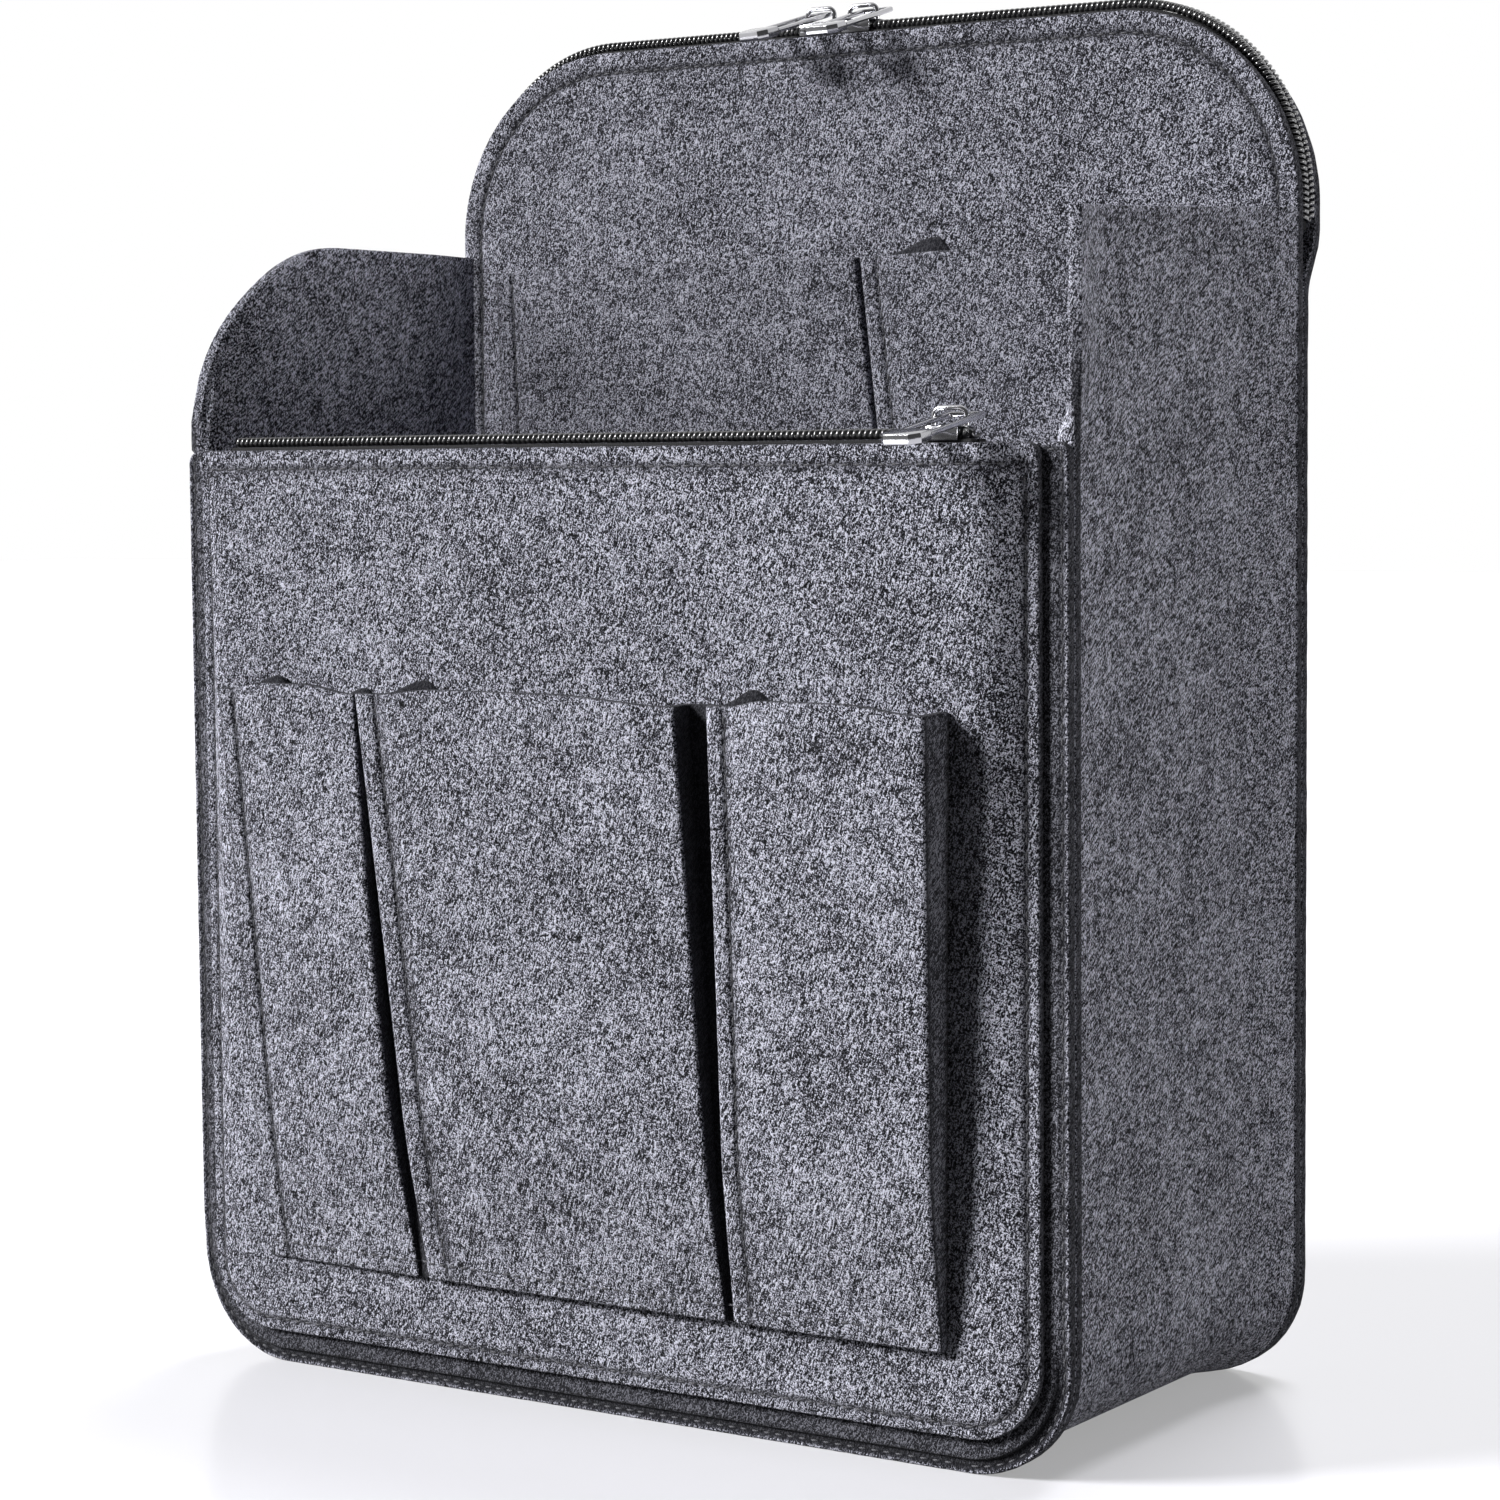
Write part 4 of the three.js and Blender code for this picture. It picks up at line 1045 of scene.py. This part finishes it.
slider = {
    "length": 11.0, "tailHalf": 4.0, "noseHalf": 4.3, "under": 3.22, "thick": 0.43, "corner": 2.2,
    "bevel": 0.22, "flangeIn": 3.4, "flangeOut": 4.0, "flangeHalf": 4.0, "flangeLow": 0.4, "fuse": 0.2,
    "flangeRound": 0.2, "flangeSoft": 0.1, "lowerRound": 0.8, "lowerSoft": 0.2,
    "postRound": 0.1, "postSoft": 0.05,
    "lowerHalf": 2.5, "lowerTop": -0.3, "lowerThick": 1.0, "post": (1.5, 4.5, -0.25, 0.25),
    "bailHalf": 4.7, "bailWire": 0.6, "bailTop": 8.0, "bailShoulder": 2.4, "bailFoot": 0.3, "bailSides": 12,
}
pull = {
    "reach": 24.2, "heel": 3.0, "half": 5.2, "rail": 1.5, "thick": 1.2, "soft": 0.28, "eyeBar": 1.0,
    "eyeRound": 1.1, "slotRound": 0.6, "block": 6.5, "blockThick": 2.4, "blockSoft": 0.45,
    "blockCorner": 0.75, "overlap": 0.4, "bevel": 2.0, "legAside": 2.3, "pivotRise": 5.5,
}


def slab(outline, low, high, soft):  # a plate with softened edges over an outline, as points and faces
    count = len(outline)
    spots = [Vector(p) for p in outline]
    outs = []
    for i in range(count):
        a, b = spots[i] - spots[i - 1], spots[(i + 1) % count] - spots[i]
        first, second = Vector((a.y, -a.x)).normalized(), Vector((b.y, -b.x)).normalized()
        middle = (first + second).normalized()
        outs.append(middle / max(middle.dot(first), 0.5))
    lip = ((0.0, soft), (soft * 0.3, soft * 0.3), (soft, 0.0))  # height and inset
    levels = [(low + rise, inset) for rise, inset in lip]
    levels += [(high - rise, inset) for rise, inset in lip[::-1]]
    points = [(p.x - o.x * inset, p.y - o.y * inset, z) for z, inset in levels for p, o in zip(spots, outs)]
    return points, tubeFaces(len(levels), count, outward=True)


def merge(parts):
    points, faces = [], []
    for more, rings in parts:
        faces += [tuple(len(points) + v for v in ring) for ring in rings]
        points += more
    return points, faces


def roundCorner(x, y, radius, start, steps=5):
    angles = [math.radians(start + 90 * share) for share in shares(steps)]
    return [(x + radius * math.cos(a), y + radius * math.sin(a)) for a in angles]


def roundedBox(left, right, low, high, radius):
    left, right, low, high = left + radius, right - radius, low + radius, high - radius
    places = ((right, low, -90), (right, high, 0), (left, high, 90), (left, low, 180))
    return [spot for x, y, start in places for spot in roundCorner(x, y, radius, start)]


def quarterTurn(steps):
    return [math.pi / 2 * share for share in shares(steps)]


def sliderParts():
    look = slider
    half, corner, flange, fuse = look["length"] / 2, look["corner"], look["flangeHalf"], look["fuse"]
    nose = [(half - corner * 2 * (1 - math.sin(a)), -look["noseHalf"] * math.cos(a)) for a in quarterTurn(8)]
    tail = [(-half + corner * (1 - math.sin(a)), look["tailHalf"] - corner * (1 - math.cos(a)))
            for a in quarterTurn(5)]
    plate = nose + [(x, -y) for x, y in nose[-2::-1]] + tail + [(x, -y) for x, y in tail[::-1]]
    top, lowerTop = look["under"] + look["thick"], look["lowerTop"]
    parts = [slab(plate, look["under"], top, look["bevel"])]
    for sign in (-1, 1):
        low, high = sorted((sign * look["flangeIn"], sign * look["flangeOut"]))
        side = roundedBox(-flange, flange, low, high, look["flangeRound"])
        parts.append(slab(side, look["flangeLow"], look["under"] + fuse, look["flangeSoft"]))
    lower = roundedBox(-flange, flange, -look["lowerHalf"], look["lowerHalf"], look["lowerRound"])
    parts.append(slab(lower, lowerTop - look["lowerThick"], lowerTop, look["lowerSoft"]))
    post = roundedBox(*look["post"], look["postRound"])
    parts.append(slab(post, lowerTop - fuse, look["under"] + fuse, look["postSoft"]))
    parts.append(wireArch(top))
    return merge(parts)


def wireArch(foot):  # the bail that holds the tab
    look = slider
    wire, sides = look["bailWire"], look["bailSides"]
    across, crown = look["bailHalf"] - wire, look["bailTop"] - wire
    shoulder = look["bailShoulder"] - wire
    route = [(-across, foot - look["bailFoot"]), (-across, foot + look["bailFoot"])]
    route += [(-across + shoulder - shoulder * math.cos(a), crown - shoulder + shoulder * math.sin(a))
              for a in quarterTurn(6)]
    route += [(-x, z) for x, z in route[::-1]]
    points = []
    for i, (x, z) in enumerate(route):
        before, after = route[max(i - 1, 0)], route[min(i + 1, len(route) - 1)]
        along = Vector((after[0] - before[0], after[1] - before[1])).normalized()
        out = Vector((-along.y, 0, along.x))
        points += ringRound(Vector((x, 0, z)), out, Vector(backward), wire, wire, sides)
    return points, tubeFaces(len(route), sides, outward=True)


def eyeLine(half, foot, top, radius):  # up both sides of the tab's eye and round its top
    return ([(-half, foot), (half, foot)] + roundCorner(half - radius, top - radius, radius, 0)
            + roundCorner(-half + radius, top - radius, radius, 90))


def pullParts():
    look = pull
    half, thick, soft, reach = look["half"], look["thick"] / 2, look["soft"], look["reach"]
    inner, heel, rail = look["block"] - reach, look["heel"], look["rail"]
    # two rails and the eye bar as one open loop, then the bevelled block
    foot = inner - look["overlap"]
    outer = eyeLine(half, foot, heel, look["eyeRound"])
    slot = eyeLine(half - rail, foot, heel - look["eyeBar"], look["slotRound"])
    count = len(outer)
    edge = soft / rail
    lower = [(0.0, soft), (edge * 0.35, soft * 0.3), (edge, 0.0)]  # share across the rail and height
    lower += [(1 - share, rise) for share, rise in lower[::-1]]
    section = [(share, rise - thick) for share, rise in lower]
    section += [(share, -level) for share, level in section[::-1]]
    points = [(*between(o, s, share), level) for share, level in section for o, s in zip(outer, slot)]
    starts = [r * count for r in range(len(section))]
    faces = []
    for here, there in zip(starts, starts[1:] + starts[:1]):
        for i in range(1, count):
            k = (i + 1) % count
            faces.append((here + i, here + k, there + k, there + i))
    faces.append(tuple(start + 1 for start in starts))
    faces.append(tuple(starts[::-1]))
    bevel, corner = look["bevel"], look["blockCorner"]
    right = [(half - bevel, -reach), (half, -reach + bevel), (half, inner - corner), (half - corner, inner)]
    left = [(-x, y) for x, y in right[::-1]]
    block = left[-1:] + right + left[:-1]
    deep = look["blockThick"] / 2
    return merge([(points, faces), slab(block, -deep, deep, look["blockSoft"])])


def metalPiece(name, part, points, faces, sharp):
    makePiece(name, points, faces, plating, part, [part], sharp=sharp)


def addSlider(name, x, chainY, edge, nose, legSide, turn, sag):
    # nose is 1 where the slider points right, and the tab hangs on the bail's left (-1) or right (1) leg
    part = "".join("_" + c.lower() if c.isupper() else c for c in name)  # backLeft is back_left in the frame
    points, faces = sliderParts()
    placed = [(x + nose * p[0], chainY + nose * p[1], edge + p[2]) for p in points]
    metalPiece(name + "Slider", f"{part}_slider", placed, faces, 40)
    points, faces = pullParts()
    turned = Matrix.Rotation(-math.radians(turn), 3, "Z") @ Matrix.Rotation(math.radians(sag), 3, "X")
    pivot = Vector((x + legSide * pull["legAside"], chainY, edge + pull["pivotRise"]))
    placed = [tuple(pivot + turned @ Vector(p)) for p in points]
    metalPiece(name + "Pull", f"{part}_pull", placed, faces, 35)


addSlider("backLeft", -12.6, backChain, backTop, nose=1, legSide=-1, turn=12, sag=16)
addSlider("backRight", 0.2, backChain, backTop, nose=-1, legSide=1, turn=4, sag=16)
addSlider("pocket", 97.1, pocketChain, frontTop, nose=1, legSide=1, turn=4, sag=12)
print("sliders made")


# Studio

photoView = {  # solved from the photo: degrees, mm, and a focal length in pixels of its square frame
    "turn": 33.72, "rise": 4.381, "roll": -0.481, "place": (507.31, -696.25, 221.82),
    "focal": 3737.58, "frame": 1500, "sensor": 36.0, "near": 0.01, "far": 50.0,
}
studio = {
    # turn from the front, height, power and size of each lamp
    "key": (-48.0, 27.0, 5.9, 20.0), "side": (97.0, 4.0, 1.48, 20.0), "back": (176.0, 64.0, 2.3, 28.0),
    "keyShaded": 0.3, "ambient": 0.04, "room": 0.1, "roomFrom": -0.1, "roomTo": 0.45,
    "floorReach": 6.0, "floorFront": 0.6, "floor": (0.92, 0.915, 0.98), "floorLift": 0.34,
    "floorBounce": 0.06,
}


def heading(turn, rise):  # towards a compass turn from the front and a height, in degrees
    turn, rise = math.radians(turn), math.radians(rise)
    return Vector((math.sin(turn) * math.cos(rise), -math.cos(turn) * math.cos(rise), math.sin(rise)))


def seenDirectly(sheet):  # camera rays, and what metal mirrors
    rays = sheet.tree.nodes.new("ShaderNodeLightPath")
    camera, glossy, through = (Strand(sheet, rays.outputs[name]) for name in (
        "Is Camera Ray", "Is Glossy Ray", "Is Transmission Ray"))
    return camera, glossy.most(through)


def makeFloor():
    sheet = newSheet("paleFloor")
    camera, mirrored = seenDirectly(sheet)
    seen = camera.most(mirrored)
    # little light comes back up from it
    colour = sheet.mixed(seen, grey(studio["floorBounce"]), grey(1.0, studio["floor"]))
    body = sheet.surface({"Base Color": colour, "Roughness": 0.22, "Specular IOR Level": 0.4})
    white = sheet.add("ShaderNodeEmission", None, {"Color": grey(1.0), "Strength": 1.0})
    lifted = sheet.add("ShaderNodeMixShader", None, {0: seen * studio["floorLift"], 1: body, 2: white})
    mesh = bpy.data.meshes.new("floor")
    reach, front = studio["floorReach"], studio["floorFront"]  # past its front edge metal mirrors the room
    corners = [(-reach, -front, 0), (reach, -front, 0), (reach, reach, 0), (-reach, reach, 0)]
    mesh.from_pydata(corners, [], [(0, 1, 2, 3)])
    mesh.materials.append(sheet.finish(lifted))
    floor = bpy.data.objects.new("floor", mesh)
    bpy.context.scene.collection.objects.link(floor)


def addSun(name, kind, share=1.0):
    turn, rise, power, size = studio[kind]
    lamp = bpy.data.lights.new(name, "SUN")
    lamp.energy = power * share
    lamp.angle = math.radians(size)
    sun = bpy.data.objects.new(name, lamp)
    sun.rotation_euler = heading(turn, rise).to_track_quat("Z", "Y").to_euler()
    bpy.context.scene.collection.objects.link(sun)
    return sun


def reachPast(sun, piece):  # a lamp that this piece does not shade
    passed = bpy.data.collections.new("passed")
    passed.objects.link(piece)
    sun.light_linking.blocker_collection = passed
    passed.collection_objects[0].light_linking.link_state = "EXCLUDE"


def makeLight():
    world = bpy.data.worlds.new("studio")
    bpy.context.scene.world = world
    sheet = Sheet(world)
    camera, mirrored = seenDirectly(sheet)
    away = sheet.add("ShaderNodeTexCoord", None, None, "Generated")
    facing = sheet.add("ShaderNodeVectorMath", {"operation": "DOT_PRODUCT"}, {
        0: away, 1: heading(photoView["turn"], 0)}, "Value")
    # metal mirrors the white backdrop behind the insert and a darker room in front of it
    room = sheet.add("ShaderNodeMapRange", {"interpolation_type": "SMOOTHSTEP"}, {
        "Value": facing, "From Min": studio["roomFrom"], "From Max": studio["roomTo"],
        "To Min": 1.0, "To Max": studio["room"]})
    level = camera.most(mirrored * room).most(studio["ambient"] * (1 - mirrored))
    surface = sheet.add("ShaderNodeBackground", None, {"Color": grey(1.0), "Strength": level})
    sheet.add("ShaderNodeOutputWorld", None, {"Surface": surface})
    addSun("key", "key", studio["keyShaded"])
    reachPast(addSun("keyWide", "key", 1 - studio["keyShaded"]), gussetPiece)
    addSun("side", "side")
    addSun("back", "back").visible_glossy = False  # keeps the plating dark against the backdrop


def makeCamera():
    look = photoView
    turn, roll = math.radians(look["turn"]), math.radians(look["roll"])
    back = heading(look["turn"], look["rise"])
    right = Vector((math.cos(turn), math.sin(turn), 0.0))
    up = back.cross(right)
    across = right * math.cos(roll) + up * math.sin(roll)
    above = up * math.cos(roll) - right * math.sin(roll)
    data = bpy.data.cameras.new("camera")
    data.sensor_width = look["sensor"]
    data.lens = look["focal"] / look["frame"] * look["sensor"]
    data.clip_start, data.clip_end = look["near"], look["far"]
    camera = bpy.data.objects.new("camera", data)
    camera.matrix_world = Matrix.Translation(toFrame(look["place"])) @ Matrix(
        (across, above, back)).transposed().to_4x4()
    bpy.context.scene.collection.objects.link(camera)
    bpy.context.scene.camera = camera


makeFloor()
makeLight()
makeCamera()
bpy.context.scene.view_settings.view_transform = "Standard"
print("studio made")
